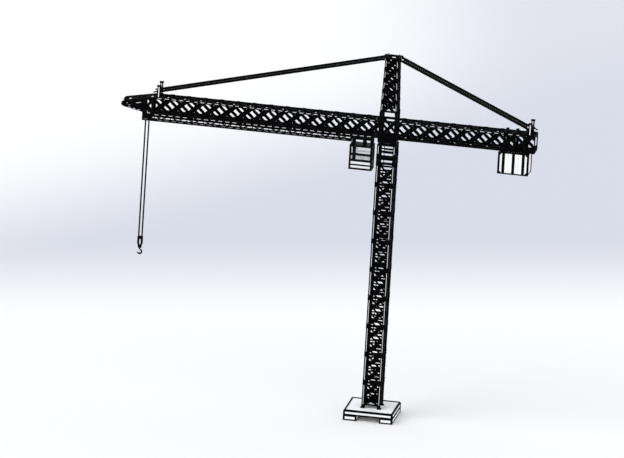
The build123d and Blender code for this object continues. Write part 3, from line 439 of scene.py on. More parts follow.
# flat plates standing on a face: a prism of the plate's outline, with bolts at its places (side, rise)
def bolted(centres, out, lean, plate):
    centres, out, lean = np.broadcast_arrays(np.atleast_2d(centres), out, lean)
    face = centres + out * plate["thickness"]
    side, rise = across(out, lean)
    places = np.asarray(plate["bolts"])
    spots = face[:, None] + places[:, :1] * side[:, None] + places[:, 1:] * rise[:, None]
    heads = bolts(spots.reshape(-1, 3), np.repeat(out, len(places), axis=0), plate["bolt"], plate["head"])
    return [bars(centres, face, plate["outline"], lean), *heads]


# flat strips along the edges of a box, on each of its six faces; one pair runs through, the other fits between
def edgeStrips(low, high, width, thickness):
    low, high = np.array(low), np.array(high)
    middle, size = (low + high) / 2, high - low
    axes = np.eye(3)
    shapes = []
    for first, second in ((0, 1), (1, 2), (2, 0)):
        normal = 3 - first - second
        for way in (-1, 1):
            out = axes[normal] * way
            face = middle + out * size[normal] / 2
            for line, other in ((first, second), (second, first)):
                run = axes[line] * (size[line] / 2 - (width if line == second else 0))
                aside = axes[other] * (size[other] - width) / 2
                starts = np.array([face - run - aside, face - run + aside])
                shapes.append(bars(starts, starts + 2 * run, oblong(width, thickness, 0, thickness / 2), out))
    return shapes


# upright guards at a box's corners, standing out along x and in along y
def cornerGuards(xSpan, ySpan, zSpan, guard):
    corners = combos(xSpan, ySpan)
    corners = corners + np.sign(corners - (np.mean(xSpan), np.mean(ySpan))) * (guard["out"], -guard["inward"])
    return bars(raised(corners, zSpan[0]), raised(corners, zSpan[1]), oblong(guard["width"], guard["depth"]), yAxis)


# one mesh from shapes given as (points, blocks of faces), with its finish and its body
def piece(name, shapes, finish, body=None, replaced=(), sharp=35.0):
    faces, first = [], 0
    for points, blocks in shapes:
        for block in blocks:
            faces += (block + first).tolist()
        first += len(points)
    mesh = bpy.data.meshes.new(name)
    mesh.from_pydata(np.concatenate([points for points, blocks in shapes]).tolist(), [], faces)
    mesh.shade_smooth()
    mesh.set_sharp_from_angle(angle=np.radians(sharp))
    mesh.materials.append(finish)
    made = bpy.data.objects.new(name, mesh)
    bpy.context.scene.collection.objects.link(made)
    if replaced:
        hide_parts(*replaced)
    if body:
        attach(made, body)
    return made


# mast: its four sides as (outward, across); rail is the level flat halfway up each bay, railBack its place inwards
mast = dict(
    half=0.7, leg=0.19, inside=0.605, depth=0.02, sole=1.14, stub=1.84, bay=1.226, bays=17, open=(22.069, 23.367),
    bar=0.12, flat=0.165, flange=0.05, wall=0.012, trim=0.2, rail=0.12, railBack=0.04,
)
sides = [(-yAxis, xAxis), (yAxis, -xAxis), (-xAxis, -yAxis), (xAxis, yAxis)]
bayLevels = mast["stub"] + mast["bay"] * np.arange(mast["bays"] + 1)
braceLevels = np.concatenate([[mast["sole"]], bayLevels[:-1]])
jointLevels = np.concatenate([bayLevels[1::2], mast["open"][:1]])
flatThickness = 0.008


# what makes flat bars into angle bars: a standing leg along one edge, and a wider flat behind it.
# One family of crossed bars turns its standing legs outwards (1), the other inwards (-1).
def angleBars(starts, ends, out, size, family):
    along = unit(ends - starts)
    lean = out * family
    begin = starts + lean * size["depth"] + along * size["trim"]
    finish = ends + lean * size["depth"] - along * size["trim"]
    stand = oblong(size["wall"], size["flange"], (size["wall"] - size["bar"]) / 2, size["flange"] / 2)
    back = lean * 2 * size["depth"]
    behind = oblong(size["flat"], flatThickness, 0, -flatThickness / 2)
    return [bars(begin, finish, stand, lean), bars(begin - back, finish - back, behind, lean)]


shapes = []
for out, along in sides:
    low, high = (out * mast["half"] + zAxis * levels[:, None] for levels in (braceLevels[:-1], braceLevels[1:]))
    reach = along * mast["inside"]
    shapes += angleBars(low - reach, high + reach, out, mast, 1)
    shapes += angleBars(high - reach, low + reach, out, mast, -1)
    middle = (low + high) / 2 - out * mast["railBack"]
    shapes.append(bars(middle - reach, middle + reach, oblong(mast["rail"], mast["wall"]), out))
piece("mast_angle_bars", shapes, towerSteel, "mast")

# gussets where the crossed bars meet the legs, and a bolt where they cross
gusset = dict(
    outline=gussetOutline(0.19, 0.06, 0.10, 0.165), thickness=0.012, bolt=0.014, head=0.02,
    bolts=[(-0.14, 0.03), (0, 0.03), (0.14, 0.03), (-0.055, 0.115), (0.055, 0.115)],
    crossBolt=0.02, crossHead=0.028,
)
crossings = (braceLevels[1:, None] + braceLevels[:-1, None]) / 2
shapes = []
for out, along in sides:
    face = out * (mast["half"] + mast["depth"])
    for way in (-1, 1):
        corner = face + along * way * mast["inside"]
        shapes += bolted(corner + zAxis * braceLevels[:, None], out, -way * along, gusset)
    shapes += bolts(face + zAxis * crossings, out, gusset["crossBolt"], gusset["crossHead"])
piece("mast_gussets", shapes, towerSteel, "mast")

# fish plates over the joints between mast sections
fish = dict(
    outline=oblong(0.15, 0.44), thickness=0.014, bolt=0.016, head=0.022,
    bolts=combos((-0.045, 0.045), (-0.17, -0.1, 0.1, 0.17)),
)
shapes = []
for out, along in sides:
    for way in (-1, 1):
        places = out * (mast["half"] + mast["leg"] / 2) + along * way * mast["half"] + zAxis * jointLevels[:, None]
        shapes += bolted(places, out, zAxis, fish)
piece("mast_joint_plates", shapes, towerSteel, "mast")

# pale faces on the legs, between the fish plates
legFace = dict(width=0.032, thickness=0.008, clear=0.23, inward=0.03, first=1.18, last=23.57)
begins = np.concatenate([[legFace["first"]], jointLevels + legFace["clear"]])[:, None]
ends = np.concatenate([jointLevels - legFace["clear"], [legFace["last"]]])[:, None]
shapes = []
for out, along in sides[:2]:
    for way in (-1, 1):
        line = out * (mast["half"] + mast["leg"] / 2) + along * way * (mast["half"] - legFace["inward"])
        shapes.append(bars(
            line + zAxis * begins, line + zAxis * ends, oblong(legFace["width"], legFace["thickness"]), out,
        ))
piece("mast_leg_faces", shapes, paleSheet, "mast")

# feet: four nuts and four ribs round each leg
foot = dict(
    top=0.91, nut=0.034, nutHeight=0.03, reach=0.1326, rib=0.022,
    ribOutline=[(0, 0), (0.24, 0), (0.24, 0.012), (0.03, 0.07), (0, 0.07)],
)
mastFeet = combos((-mast["half"], mast["half"]), (-mast["half"], mast["half"]), (foot["top"],))
footNuts = combos((-foot["reach"], foot["reach"]), (-foot["reach"], foot["reach"]), (0,))
shapes = bolts((mastFeet[:, None] + footNuts).reshape(-1, 3), zAxis, foot["nut"], foot["nutHeight"])
for out, along in sides:
    start = mastFeet + out * mast["leg"] / 2 - along * foot["rib"] / 2
    shapes.append(bars(start + along * foot["rib"], start, foot["ribOutline"], out))
piece("foot_ribs_and_nuts", shapes, towerSteel, "mast")

# plates at the ends of the level bars in the two open bays
headPlate = dict(
    outline=oblong(0.14, 0.13, 0, 0.065), thickness=0.012, bolt=0.014, head=0.02,
    bolts=[(-0.035, 0.04), (0.035, 0.04), (0, 0.1)],
)
openLevels = np.array([*mast["open"], bayLevels[-1]])
shapes = []
for out, along in sides:
    for way in (-1, 1):
        corner = out * (mast["half"] + mast["depth"]) + along * way * mast["inside"]
        shapes += bolted(corner + zAxis * openLevels[:, None], out, -way * along, headPlate)
piece("mast_head_plates", shapes, towerSteel, "mast")
print("mast details done")

# ladder: channel treads over its rungs, between its rails
ladder = dict(y=0.59, first=0.91, pitch=0.3, top=23.29, half=0.34, depth=0.022, height=0.13, wall=0.012)
rungCount = int((ladder["top"] - ladder["first"]) / ladder["pitch"])
rungs = ladder["first"] + ladder["pitch"] * (np.arange(rungCount) + 0.5)
rungMiddles = yAxis * ladder["y"] + zAxis * rungs[:, None]
deep, tall, wall = ladder["depth"], ladder["height"] / 2, ladder["wall"]
tread = [
    (-deep, -tall), (deep, -tall), (deep, tall), (deep - wall, tall), (deep - wall, wall - tall), (-deep, wall - tall),
]
rungHalf = xAxis * ladder["half"]
treads = bars(rungMiddles - rungHalf, rungMiddles + rungHalf, tread, zAxis)
piece("ladder_treads", [treads], towerSteel, "mast")

# base: angle strips over the edges of slab and runners, a kerb round the slab's top, guards at its corners
base = dict(
    half=2.05, slabLow=0.45, slabHigh=0.85, runner=0.98, runnerLow=0.006, strip=0.115, slabSheet=0.008,
    runnerSheet=0.006, kerbWidth=0.11, kerbHeight=0.066, guardLow=0.02,
)
baseGuard = dict(out=0.02, inward=0.045, width=0.07, depth=0.06)
half = base["half"]
shapes = edgeStrips((-half, -half, base["slabLow"]), (half, half, base["slabHigh"]), base["strip"], base["slabSheet"])
for way in (-1, 1):
    box = np.sort([(way * base["runner"], -half, base["runnerLow"]), (way * half, half, base["slabLow"])], axis=0)
    shapes += edgeStrips(*box, base["strip"], base["runnerSheet"])
kerb = raised(oblong(2 * half - base["kerbWidth"], 2 * half - base["kerbWidth"]), base["slabHigh"])
kerbOutline = oblong(base["kerbWidth"], base["kerbHeight"], 0, base["kerbHeight"] / 2)
shapes.append(bars(kerb, np.roll(kerb, -1, axis=0), kerbOutline, zAxis))
shapes.append(cornerGuards((-half, half), (-half, half), (base["guardLow"], base["slabHigh"]), baseGuard))
piece("base_edge_angles", shapes, edgeSteel, "mast")

# slewing ring: a toothed rim round the fixed half, r(u) rises and falls once a tooth, and bolts on both halves
ring = dict(
    outer=0.572, tooth=0.022, teeth=110, flank=0.3, wall=0.02, low=23.705, high=23.775,
    bolts=30, circle=0.495, bolt=0.018, head=0.026, lowerFace=23.59, upperFace=23.9703,
)
quarters = np.arange(ring["teeth"] * 4)
radius = ring["outer"] + ring["tooth"] * np.isin(quarters % 4, (1, 2))
slope = ring["flank"] * (np.isin(quarters % 4, (1, 3)) - 0.5)
spokes = roundAxis(2 * np.pi * (quarters + slope) / len(quarters), xAxis, yAxis)
outside, inside = spokes * radius[:, None], spokes * (ring["outer"] - ring["wall"])
low, high = zAxis * ring["low"], zAxis * ring["high"]
rim = skin(np.stack([outside + low, outside + high, inside + high, inside + low])[None], closed=True)
piece("slew_ring_teeth", [rim], ringMetal, "mast")
circle = roundAxis(turns(ring["bolts"], 0.5), xAxis, yAxis) * ring["circle"]
lowerBolts = bolts(circle + zAxis * ring["lowerFace"], -zAxis, ring["bolt"], ring["head"])
upperBolts = bolts(circle + zAxis * ring["upperFace"], zAxis, ring["bolt"], ring["head"])
piece("slew_ring_lower_bolts", lowerBolts, towerSteel, "mast")
piece("slew_ring_upper_bolts", upperBolts, towerSteel, "superstructure")
print("slewing ring done")

# box trusses of the jib and the counter-jib
truss = dict(
    low=24.2, high=25.74, half=0.65, chord=0.16, inside=0.57, depth=0.025, bar=0.21, flat=0.275, flange=0.045,
    wall=0.014, trim=0.2, shortest=0.9, endGap=0.1, plateBack=0.055, splicePast=0.45,
)
levelBars = dict(truss, bar=0.19, flat=0.24)
jib = dict(first=-1.8, pitch=-1.387, joints=15, span=(-19.831, -0.76))
counterJib = dict(first=1.18, pitch=1.38, joints=11, span=(0.76, 12.4))
sideGusset = dict(
    outline=gussetOutline(0.24, 0.05, 0.11, 0.17), thickness=0.012, bolt=0.015, head=0.022,
    bolts=[(-0.18, 0.03), (-0.06, 0.05), (0.06, 0.05), (0.18, 0.03), (-0.06, 0.13), (0.06, 0.13)],
)
levelGusset = dict(
    outline=gussetOutline(0.18, 0.04, 0.08, 0.13), thickness=0.012, bolt=0.015, head=0.022,
    bolts=[(-0.12, 0.03), (0, 0.03), (0.12, 0.03), (0, 0.1)],
)
chordCap = dict(
    outline=oblong(0.3, 0.13), thickness=0.03, bolt=0.014, head=0.02, bolts=combos((-0.1, 0.1), (-0.035, 0.035)),
)
chordSplice = dict(
    outline=oblong(0.4, 0.13), thickness=0.014, bolt=0.014, head=0.02,
    bolts=combos((-0.16, -0.08, 0.08, 0.16), (-0.035, 0.035)),
)
webLow, webHigh = truss["low"] + truss["chord"], truss["high"] - truss["chord"]
chordLow, chordHigh = truss["low"] + truss["chord"] / 2, truss["high"] - truss["chord"] / 2


# where an arm's bays meet, from its nose to the mast or from the mast outwards
def jointsOf(arm):
    return np.sort(arm["first"] + arm["pitch"] * (np.arange(arm["joints"]) - 1.0))


# the part of each bar that lies inside the arm's span: start + share (end - start), share clipped to the span
def clipped(starts, ends, span):
    run = ends - starts
    low = np.clip((span[0] - starts[:, 0]) / run[:, 0], 0, 1)
    high = np.clip((span[1] - starts[:, 0]) / run[:, 0], 0, 1)
    begin, finish = np.minimum(low, high), np.maximum(low, high)
    keep = (finish - begin) * np.linalg.norm(run, axis=1) > truss["shortest"]
    return (starts + run * begin[:, None])[keep], (starts + run * finish[:, None])[keep]


for prefix, arm in (("jib", jib), ("counter_jib", counterJib)):
    joints, span = jointsOf(arm), arm["span"]
    here, there = xAxis * joints[:-1, None], xAxis * joints[1:, None]
    inside = (joints > span[0] + truss["endGap"]) & (joints < span[1] - truss["endGap"])
    spots = xAxis * joints[inside, None]
    legs, plates, caps = [], [], []
    for way in (-1, 1):
        out, wall = yAxis * way, yAxis * way * truss["half"]
        low, high = wall + zAxis * webLow, wall + zAxis * webHigh
        legs += angleBars(*clipped(here + low, there + high, span), out, truss, 1)
        legs += angleBars(*clipped(here + high, there + low, span), out, truss, -1)
        for height, lean in ((webLow, zAxis), (webHigh, -zAxis)):
            plates += bolted(spots + wall + out * truss["depth"] + zAxis * height, out, lean, sideGusset)
            corner = yAxis * way * truss["inside"] + zAxis * (height - lean[2] * truss["plateBack"])
            plates += bolted(spots + corner, -lean, -out, levelGusset)
        caps += bolted(spots + wall + zAxis * truss["high"], zAxis, yAxis, chordCap)
        splices = spots[1::3] + xAxis * truss["splicePast"] + yAxis * way * (truss["half"] + truss["chord"] / 2)
        for height in (chordLow, chordHigh):
            caps += bolted(splices + zAxis * height, out, zAxis, chordSplice)
    for height, lean in ((chordLow, -zAxis), (chordHigh, zAxis)):
        near, far = (yAxis * way * truss["inside"] + zAxis * height for way in (-1, 1))
        legs += angleBars(*clipped(here + near, there + far, span), lean, levelBars, 1)
        legs += angleBars(*clipped(here + far, there + near, span), lean, levelBars, -1)
    piece(prefix + "_angle_bars", legs, towerSteel, "superstructure")
    piece(prefix + "_gussets", plates, towerSteel, "superstructure")
    piece(prefix + "_chord_plates", caps, towerSteel, "superstructure")
print("trusses done")

# trolley rails: joint plates on their webs, bolted feet of the hanging bars, short hangers and a lip
rail = dict(low=23.68, high=23.88, face=0.70, start=2.97, end=20.75, clear=0.3)
railPlate = dict(
    outline=oblong(0.34, 0.12), thickness=0.01, bolt=0.012, head=0.018,
    bolts=combos((-0.13, -0.05, 0.05, 0.13), (-0.03, 0.03)),
)
hangerFoot = dict(
    outline=gussetOutline(0.11, 0.03, 0.05, 0.09), thickness=0.01, bolt=0.012, head=0.018,
    bolts=[(-0.06, 0.03), (0.06, 0.03)], out=0.02,
)
hanger = dict(pitch=-jib["pitch"] / 3, width=0.075, thickness=0.012, out=0.026, margin=0.1, lipOut=0.006, lip=0.1)
joints = jointsOf(jib)
spots = xAxis * joints[(joints > rail["clear"] - rail["end"]) & (joints < -rail["clear"] - rail["start"]), None]
shapes = []
for way in (-1, 1):
    out = yAxis * way
    middle = out * rail["face"] + zAxis * (rail["low"] + rail["high"]) / 2
    shapes += bolted(spots[::2] + middle, out, zAxis, railPlate)
    for height, lean in ((rail["high"], zAxis), (truss["low"], -zAxis)):
        places = spots + out * (truss["half"] + hangerFoot["out"]) + zAxis * height
        shapes += bolted(places, out, lean, hangerFoot)
spots = np.arange(rail["start"] + hanger["margin"], rail["end"] - hanger["margin"], hanger["pitch"])[:, None] * -xAxis
for way in (-1, 1):
    wall = spots + yAxis * way * (truss["half"] + hanger["out"])
    low, high = wall + zAxis * rail["high"], wall + zAxis * truss["low"]
    shapes.append(bars(low, high, oblong(hanger["width"], hanger["thickness"]), yAxis))
    lip = yAxis * way * (rail["face"] + hanger["lipOut"]) + zAxis * rail["high"]
    lipOutline = oblong(hanger["thickness"], hanger["lip"])
    shapes.append(bars(lip - xAxis * rail["end"], lip - xAxis * rail["start"], lipOutline, zAxis))
piece("rail_plates", shapes, towerSteel, "superstructure")

# pale dashes on the outer faces of rails and chords: (first x, last x, height, distance from the middle, width),
# and on the nose: (x, height) of each dash's ends
dash = dict(
    pitch=0.6, length=0.34, thickness=0.006, noseOut=0.045, noseWidth=0.035,
    rows=[
        (-20.6, -3.1, 23.83, 0.70, 0.032), (-19.7, -0.9, 24.27, 0.73, 0.03), (-19.5, -0.8, 25.7, 0.73, 0.035),
        (1.2, 12.3, 25.7, 0.73, 0.035),
    ],
    nose=[
        (-20.1, 24.34, -20.35, 24.39), (-20.95, 24.51, -21.15, 24.55), (-21.35, 24.59, -21.55, 24.63),
        (-21.75, 24.67, -21.95, 24.71), (-20.9, 25.2, -21.3, 25.11),
    ],
)
shapes = []
for first, last, height, reach, width in dash["rows"]:
    starts = np.arange(first, last - dash["length"], dash["pitch"])[:, None] * xAxis + zAxis * height
    for way in (-1, 1):
        begin = starts + yAxis * way * reach
        shapes.append(bars(begin, begin + xAxis * dash["length"], oblong(dash["thickness"], width), zAxis))
beginX, beginZ, endX, endZ = np.transpose(dash["nose"])[..., None]
for way in (-1, 1):
    wall = yAxis * way * (truss["half"] + dash["noseOut"])
    begin, end = wall + xAxis * beginX + zAxis * beginZ, wall + xAxis * endX + zAxis * endZ
    shapes.append(bars(begin, end, oblong(dash["thickness"], dash["noseWidth"]), zAxis))
piece("chord_faces", shapes, paleSheet, "superstructure")

# tower head: angle bars, level flats, gussets and leg plates on its four leaning sides, pale faces on its legs
head = dict(low=26.48, high=31.1, footX=0.64, footY=0.65, peakX=0.49, peakY=0.475, leg=0.17, bays=5)
headBar = dict(
    depth=0.02, bar=0.16, flat=0.24, flange=0.04, wall=0.012, trim=0.15, rail=0.1, railBack=0.04,
    pale=0.026, clear=0.22,
)
headGusset = dict(
    outline=gussetOutline(0.17, 0.05, 0.08, 0.13), thickness=0.012, bolt=0.013, head=0.02,
    bolts=[(-0.12, 0.03), (0, 0.035), (0.12, 0.03), (0, 0.1)],
)
legPlate = dict(
    outline=oblong(0.12, 0.24), thickness=0.012, bolt=0.013, head=0.02, bolts=combos((-0.03, 0.03), (-0.08, 0.08)),
)
share = np.linspace(0, 1, head["bays"] + 1)[:, None]
outX, outY = (head["foot" + axis] + (head["peak" + axis] - head["foot" + axis]) * share for axis in "XY")
levels = zAxis * (head["low"] + (head["high"] - head["low"]) * share)
shapes, legs, pale = [], [], []
for out, along in sides:
    wide = abs(along[0]) > 0.5
    reachOut, reachAlong = (outY, outX) if wide else (outX, outY)
    middles = out * reachOut + levels
    halves = along * (reachAlong - head["leg"] / 2)
    rise = unit(middles[-1] - middles[0])
    face = unit(np.cross(along, rise))
    legs += angleBars((middles - halves)[:-1], (middles + halves)[1:], face, headBar, 1)
    legs += angleBars((middles + halves)[:-1], (middles - halves)[1:], face, headBar, -1)
    railMiddle = (middles[1:] + middles[:-1]) / 2 - face * headBar["railBack"]
    railHalf = (halves[1:] + halves[:-1]) / 2
    legs.append(bars(railMiddle - railHalf, railMiddle + railHalf, oblong(headBar["rail"], headBar["wall"]), face))
    for way, deep in [(way, deep) for way in (-1, 1) for deep in (-0.5, 0.5) if wide]:
        line = middles + halves * way + (along * way / 3 + face * deep) * head["leg"]
        gap = rise * headBar["clear"]
        pale.append(bars(line[:-1] + gap, line[1:] - gap, oblong(headBar["pale"], headBar["wall"]), face))
    for way in (-1, 1):
        corner = (middles + halves * way)[1:-1]
        shapes += bolted(corner + face * headBar["depth"], face, -way * along, headGusset)
        shapes += bolted(corner + (along * way + face) * head["leg"] / 2, face, rise, legPlate)
piece("head_angle_bars", legs, towerSteel, "superstructure")
piece("head_leg_faces", pale, paleSheet, "superstructure")

# its foot bolts, and lifting studs on the cap
headFoot = dict(reach=0.1025, bolt=0.011, head=0.022)
stud = dict(
    x=0.47, level=31.2,
    profile=[(0, 0.05), (0.014, 0.05), (0.014, 0.026), (0.07, 0.026), (0.07, 0.042), (0.1, 0.042), (0.11, 0.03)],
)
headFeet = combos((-head["footX"], head["footX"]), (-head["footY"], head["footY"]), (head["low"],))
footBolts = combos((-headFoot["reach"], headFoot["reach"]), (-headFoot["reach"], headFoot["reach"]), (0,))
shapes += bolts((headFeet[:, None] + footBolts).reshape(-1, 3), zAxis, headFoot["bolt"], headFoot["head"])
studs = combos((-stud["x"], stud["x"]), (-head["peakY"], head["peakY"]), (stud["level"],))
shapes.append(turned(studs, zAxis, stud["profile"], steps=12))
piece("head_plates_and_studs", shapes, towerSteel, "superstructure")

# ties: forks and pins at both ends, splices between; far is the (x, height) of each pair's outer end
tie = dict(
    width=0.12, headX=0.78, headY=0.475, headZ=31.0, farY=0.45, far=[(-19.325, 26.25), (11.875, 26.2)],
    forkIn=(0.12, 0.22), spliceAt=(0.25, 0.5, 0.75), lugX=0.70, lugZ=30.98,
    pin=[
        (-0.115, 0.026), (-0.115, 0.045), (-0.09, 0.045), (-0.09, 0.034), (0.09, 0.034), (0.09, 0.045),
        (0.115, 0.045), (0.115, 0.026),
    ],
)
fork = dict(
    outline=oblong(0.14, 0.4), thickness=0.014, bolt=0.013, head=0.02,
    bolts=combos((-0.04, 0.04), (-0.14, -0.05, 0.05, 0.14)),
)
tieSplice = dict(
    outline=oblong(0.13, 0.5), thickness=0.014, bolt=0.012, head=0.018,
    bolts=combos((-0.035, 0.035), (-0.2, -0.1, 0.1, 0.2)),
)


# a tie's two ends, on the side given by way
def tieEnds(farX, farZ, way):
    near = (np.copysign(tie["headX"], farX), way * tie["headY"], tie["headZ"])
    return np.array(near), np.array([farX, way * tie["farY"], farZ])


shapes = []
for farX, farZ in tie["far"]:
    for way in (-1, 1):
        start, end = tieEnds(farX, farZ, way)
        along, length = unit(end - start), np.linalg.norm(end - start)
        side = unit(np.cross(zAxis, along))
        forks = np.array([start + along * tie["forkIn"][0], end - along * tie["forkIn"][1]])
        splices = start + along * length * np.array(tie["spliceAt"])[:, None]
        for away in (-1, 1):
            face = side * away * tie["width"] / 2
            shapes += bolted(forks + face, side * away, along, fork)
            shapes += bolted(splices + face, side * away, along, tieSplice)
        lug = (np.copysign(tie["lugX"], farX), way * tie["headY"], tie["lugZ"])
        shapes.append(turned(lug, yAxis, tie["pin"], steps=16))

# flat lacing bars between both ties of a pair, one family above the other
lacing = dict(pitch=0.2, width=0.165, thickness=0.012, above=0.014, first=0.1, last=0.25)
for farX, farZ in tie["far"]:
    start, end = tieEnds(farX, farZ, 1)
    length = np.linalg.norm(end - start)
    steps = int(length / lacing["pitch"])
    near = start + (end - start) * np.linspace(lacing["first"] / length, 1 - lacing["last"] / length, steps)[:, None]
    far = near * (1, -1, 1)
    lean = unit(np.cross(end - start, yAxis))
    for begin, finish, above in ((near, far, 0), (far, near, lacing["above"])):
        outline = oblong(lacing["width"], lacing["thickness"], 0, above)
        shapes.append(bars(begin[:-1], finish[1:], outline, lean))
piece("tie_forks_and_splices", shapes, towerSteel, "superstructure")

# tie posts: foot plates, domed lids, pale faces between dark edges; the dome is (share of the lid, height)
post = dict(
    places=(-19.45, 12.0), length=0.25, width=0.16, low=25.74, high=26.78, face=0.004, margin=0.09,
    dome=[(1.4, -0.08), (1.4, 0.018), (1.25, 0.034), (0.9, 0.046), (0.4, 0.052)],
)
postFoot = dict(
    outline=oblong(0.22, 0.42), thickness=0.022, bolt=0.016, head=0.026, bolts=combos((-0.085, 0.085), (-0.175, 0.175)),
)
height, (domeShare, domeLift) = post["high"] - post["low"], np.transpose(post["dome"])
lid = oblong(post["length"], post["width"]) * domeShare[:, None, None]
lid = np.concatenate([lid, np.broadcast_to(domeLift[:, None, None], (len(domeLift), 4, 1))], axis=-1)
faceOutline = oblong(post["length"] - 2 * post["margin"], height - 2 * post["margin"])
shapes, faces = [], []
for placeX in post["places"]:
    for way in (-1, 1):
        foot = np.array([placeX, way * truss["half"], post["low"]])
        shapes += bolted(foot, zAxis, xAxis, postFoot)
        shapes.append(skin((lid + foot + zAxis * height)[None]))
        for out in (yAxis * way, -yAxis * way):
            wall = foot + zAxis * height / 2 + out * post["width"] / 2
            faces.append(bars(wall, wall + out * post["face"], faceOutline, zAxis))
piece("tie_post_plates", shapes, towerSteel, "superstructure")
piece("tie_post_faces", faces, paleSheet, "superstructure")

# nose: bolted hub covers on the end discs, a rim round each, and web plates behind them
nose = dict(
    x=-22.33, z=24.975, y=0.73, bolts=10, circle=0.185, bolt=0.015, head=0.022,
    cover=[(0, 0.11), (0.02, 0.11), (0.034, 0.088), (0.034, 0.05), (0.02, 0.04)],
    rim=[(0, 0.2), (0, 0.23), (0.012, 0.23), (0.012, 0.2)],
    web=[(-21.95, 24.815), (-20.75, 24.55), (-20.75, 25.35), (-21.5, 25.035)], webThickness=0.01,
)
circle = roundAxis(turns(nose["bolts"]), xAxis, zAxis) * nose["circle"]
shapes = []
for way in (-1, 1):
    out, centre = yAxis * way, np.array([nose["x"], way * nose["y"], nose["z"]])
    shapes.append(turned(centre, out, nose["cover"], steps=32))
    shapes.append(turned(centre, out, nose["rim"], steps=48, closed=True))
    shapes += bolts(centre + circle, out, nose["bolt"], nose["head"])
for way in (-1, 1):
    plane = yAxis * way * truss["half"]
    shapes.append(bars(plane + yAxis * nose["webThickness"], plane, nose["web"], zAxis))
piece("nose_hub_covers", shapes, towerSteel, "superstructure")

# counterweights: strap nuts, corner plates of the frame, lifting plates over each block, strips along the edges
weight = dict(
    start=9.5, end=12.0, pitch=0.84, length=0.82, low=22.26, high=24.15, half=0.8, strip=0.11, sheet=0.008,
    strap=0.83, nutX=0.07, nut=0.018, nutHeight=0.028, nutLevels=(22.42, 22.62, 23.6, 23.8, 24.9, 25.1, 25.68),
    cornerIn=0.12, cornerLevels=(22.38, 24.03), liftY=0.6, liftLevel=25.86,
)
weightGuard = dict(out=0.03, inward=0.045, width=0.08, depth=0.06)
cornerPlate = dict(
    outline=oblong(0.2, 0.2), thickness=0.014, bolt=0.014, head=0.02, bolts=combos((-0.06, 0.06), (-0.06, 0.06)),
)
liftPlate = dict(
    outline=oblong(0.2, 0.2), thickness=0.016, bolt=0.018, head=0.03, bolts=combos((-0.065, 0.065), (-0.065, 0.065)),
)
middles = weight["start"] + weight["length"] / 2 + weight["pitch"] * np.arange(3)
cornersX = (weight["start"] + weight["cornerIn"], weight["end"] - weight["cornerIn"])
shapes = []
for way in (-1, 1):
    nuts = combos(middles, (way * weight["strap"],), weight["nutLevels"])
    for aside in (-weight["nutX"], weight["nutX"]):
        shapes += bolts(nuts + xAxis * aside, yAxis * way, weight["nut"], weight["nutHeight"])
    corners = combos(cornersX, (way * weight["half"],), weight["cornerLevels"])
    shapes += bolted(corners, yAxis * way, zAxis, cornerPlate)
shapes += bolted(combos(middles, (-weight["liftY"], weight["liftY"]), (weight["liftLevel"],)), zAxis, xAxis, liftPlate)
spanX, spanY = (weight["start"], weight["end"]), (-weight["half"], weight["half"])
spanZ = (weight["low"], weight["high"])
shapes += edgeStrips(*zip(spanX, spanY, spanZ), weight["strip"], weight["sheet"])
shapes.append(cornerGuards(spanX, spanY, spanZ, weightGuard))
piece("counterweight_bolts", shapes, towerSteel, "superstructure")
print("head, ties, nose and counterweights done")

# trolley: flanged wheels on their axles, grooved sheaves, axle nuts inside the plates
trolley = dict(
    x=-20.38, z=23.7753, wheels=(-20.6308, -20.1292), plate=0.59, inner=0.56, fall=0.14,
    axleNut=0.024, axleHeight=0.03, nut=0.011, nutHeight=0.016, nutX=(-20.7, -20.38, -20.06), nutZ=0.075, sheaveX=0.26,
    wheel=[
        (0.0, 0.025), (0.034, 0.025), (0.034, 0.052), (0.036, 0.07), (0.042, 0.075), (0.078, 0.075), (0.084, 0.069),
        (0.084, 0.05), (0.074, 0.044), (0.074, 0.028), (0.083, 0.022), (0.083, 0.012),
    ],
    sheave=dict(
        radius=0.07, width=0.10, hub=0.03, groove=0.034, bore=0.012, proud=0.005, hubStep=0.012, webStep=0.018,
        webTop=0.78, rimFoot=0.82, bevel=0.003, grooveTop=0.004, grooveDepth=0.7, grooveRows=9,
    ),
)
nutLevels = (trolley["z"] - trolley["nutZ"], trolley["z"] + trolley["nutZ"])
shapes, nuts = [], []
for way in (-1, 1):
    out = yAxis * way
    places = combos(trolley["wheels"], (way * trolley["plate"],), (trolley["z"],))
    shapes.append(turned(places, out, trolley["wheel"], steps=40))
    places = combos(trolley["wheels"], (way * trolley["inner"],), (trolley["z"],))
    nuts += bolts(places, -out, trolley["axleNut"], trolley["axleHeight"])
    places = combos(trolley["nutX"], (way * trolley["inner"],), nutLevels)
    nuts += bolts(places, -out, trolley["nut"], trolley["nutHeight"])
piece("trolley_wheel_rims", shapes, sheaveMetal, "trolley", ("trolley_wheels",))
piece("trolley_nuts", nuts, machineSteel, "trolley")


# grooved sheaves on +Y: the outline's first half is mirrored, and r falls into the groove as a half circle
def sheaves(places, size):
    radius, edge, hub, groove, bevel = size["radius"], size["width"] / 2, size["hub"], size["groove"], size["bevel"]
    bend = np.linspace(-np.pi / 2, np.pi / 2, size["grooveRows"])
    bottom = radius - size["grooveTop"] - np.cos(bend) * groove * size["grooveDepth"]
    hollow = np.stack([np.sin(bend) * groove, bottom], axis=-1)
    low = [
        (-edge - size["proud"], size["bore"]), (-edge - size["proud"], hub), (-edge + size["hubStep"], hub),
        (-edge + size["webStep"], radius * size["webTop"]), (-edge, radius * size["rimFoot"]),
        (-edge, radius - bevel), (-edge + bevel, radius),
    ]
    high = [(-along, r) for along, r in reversed(low)]
    return turned(places, yAxis, np.array([*low, *hollow, *high]), steps=48)


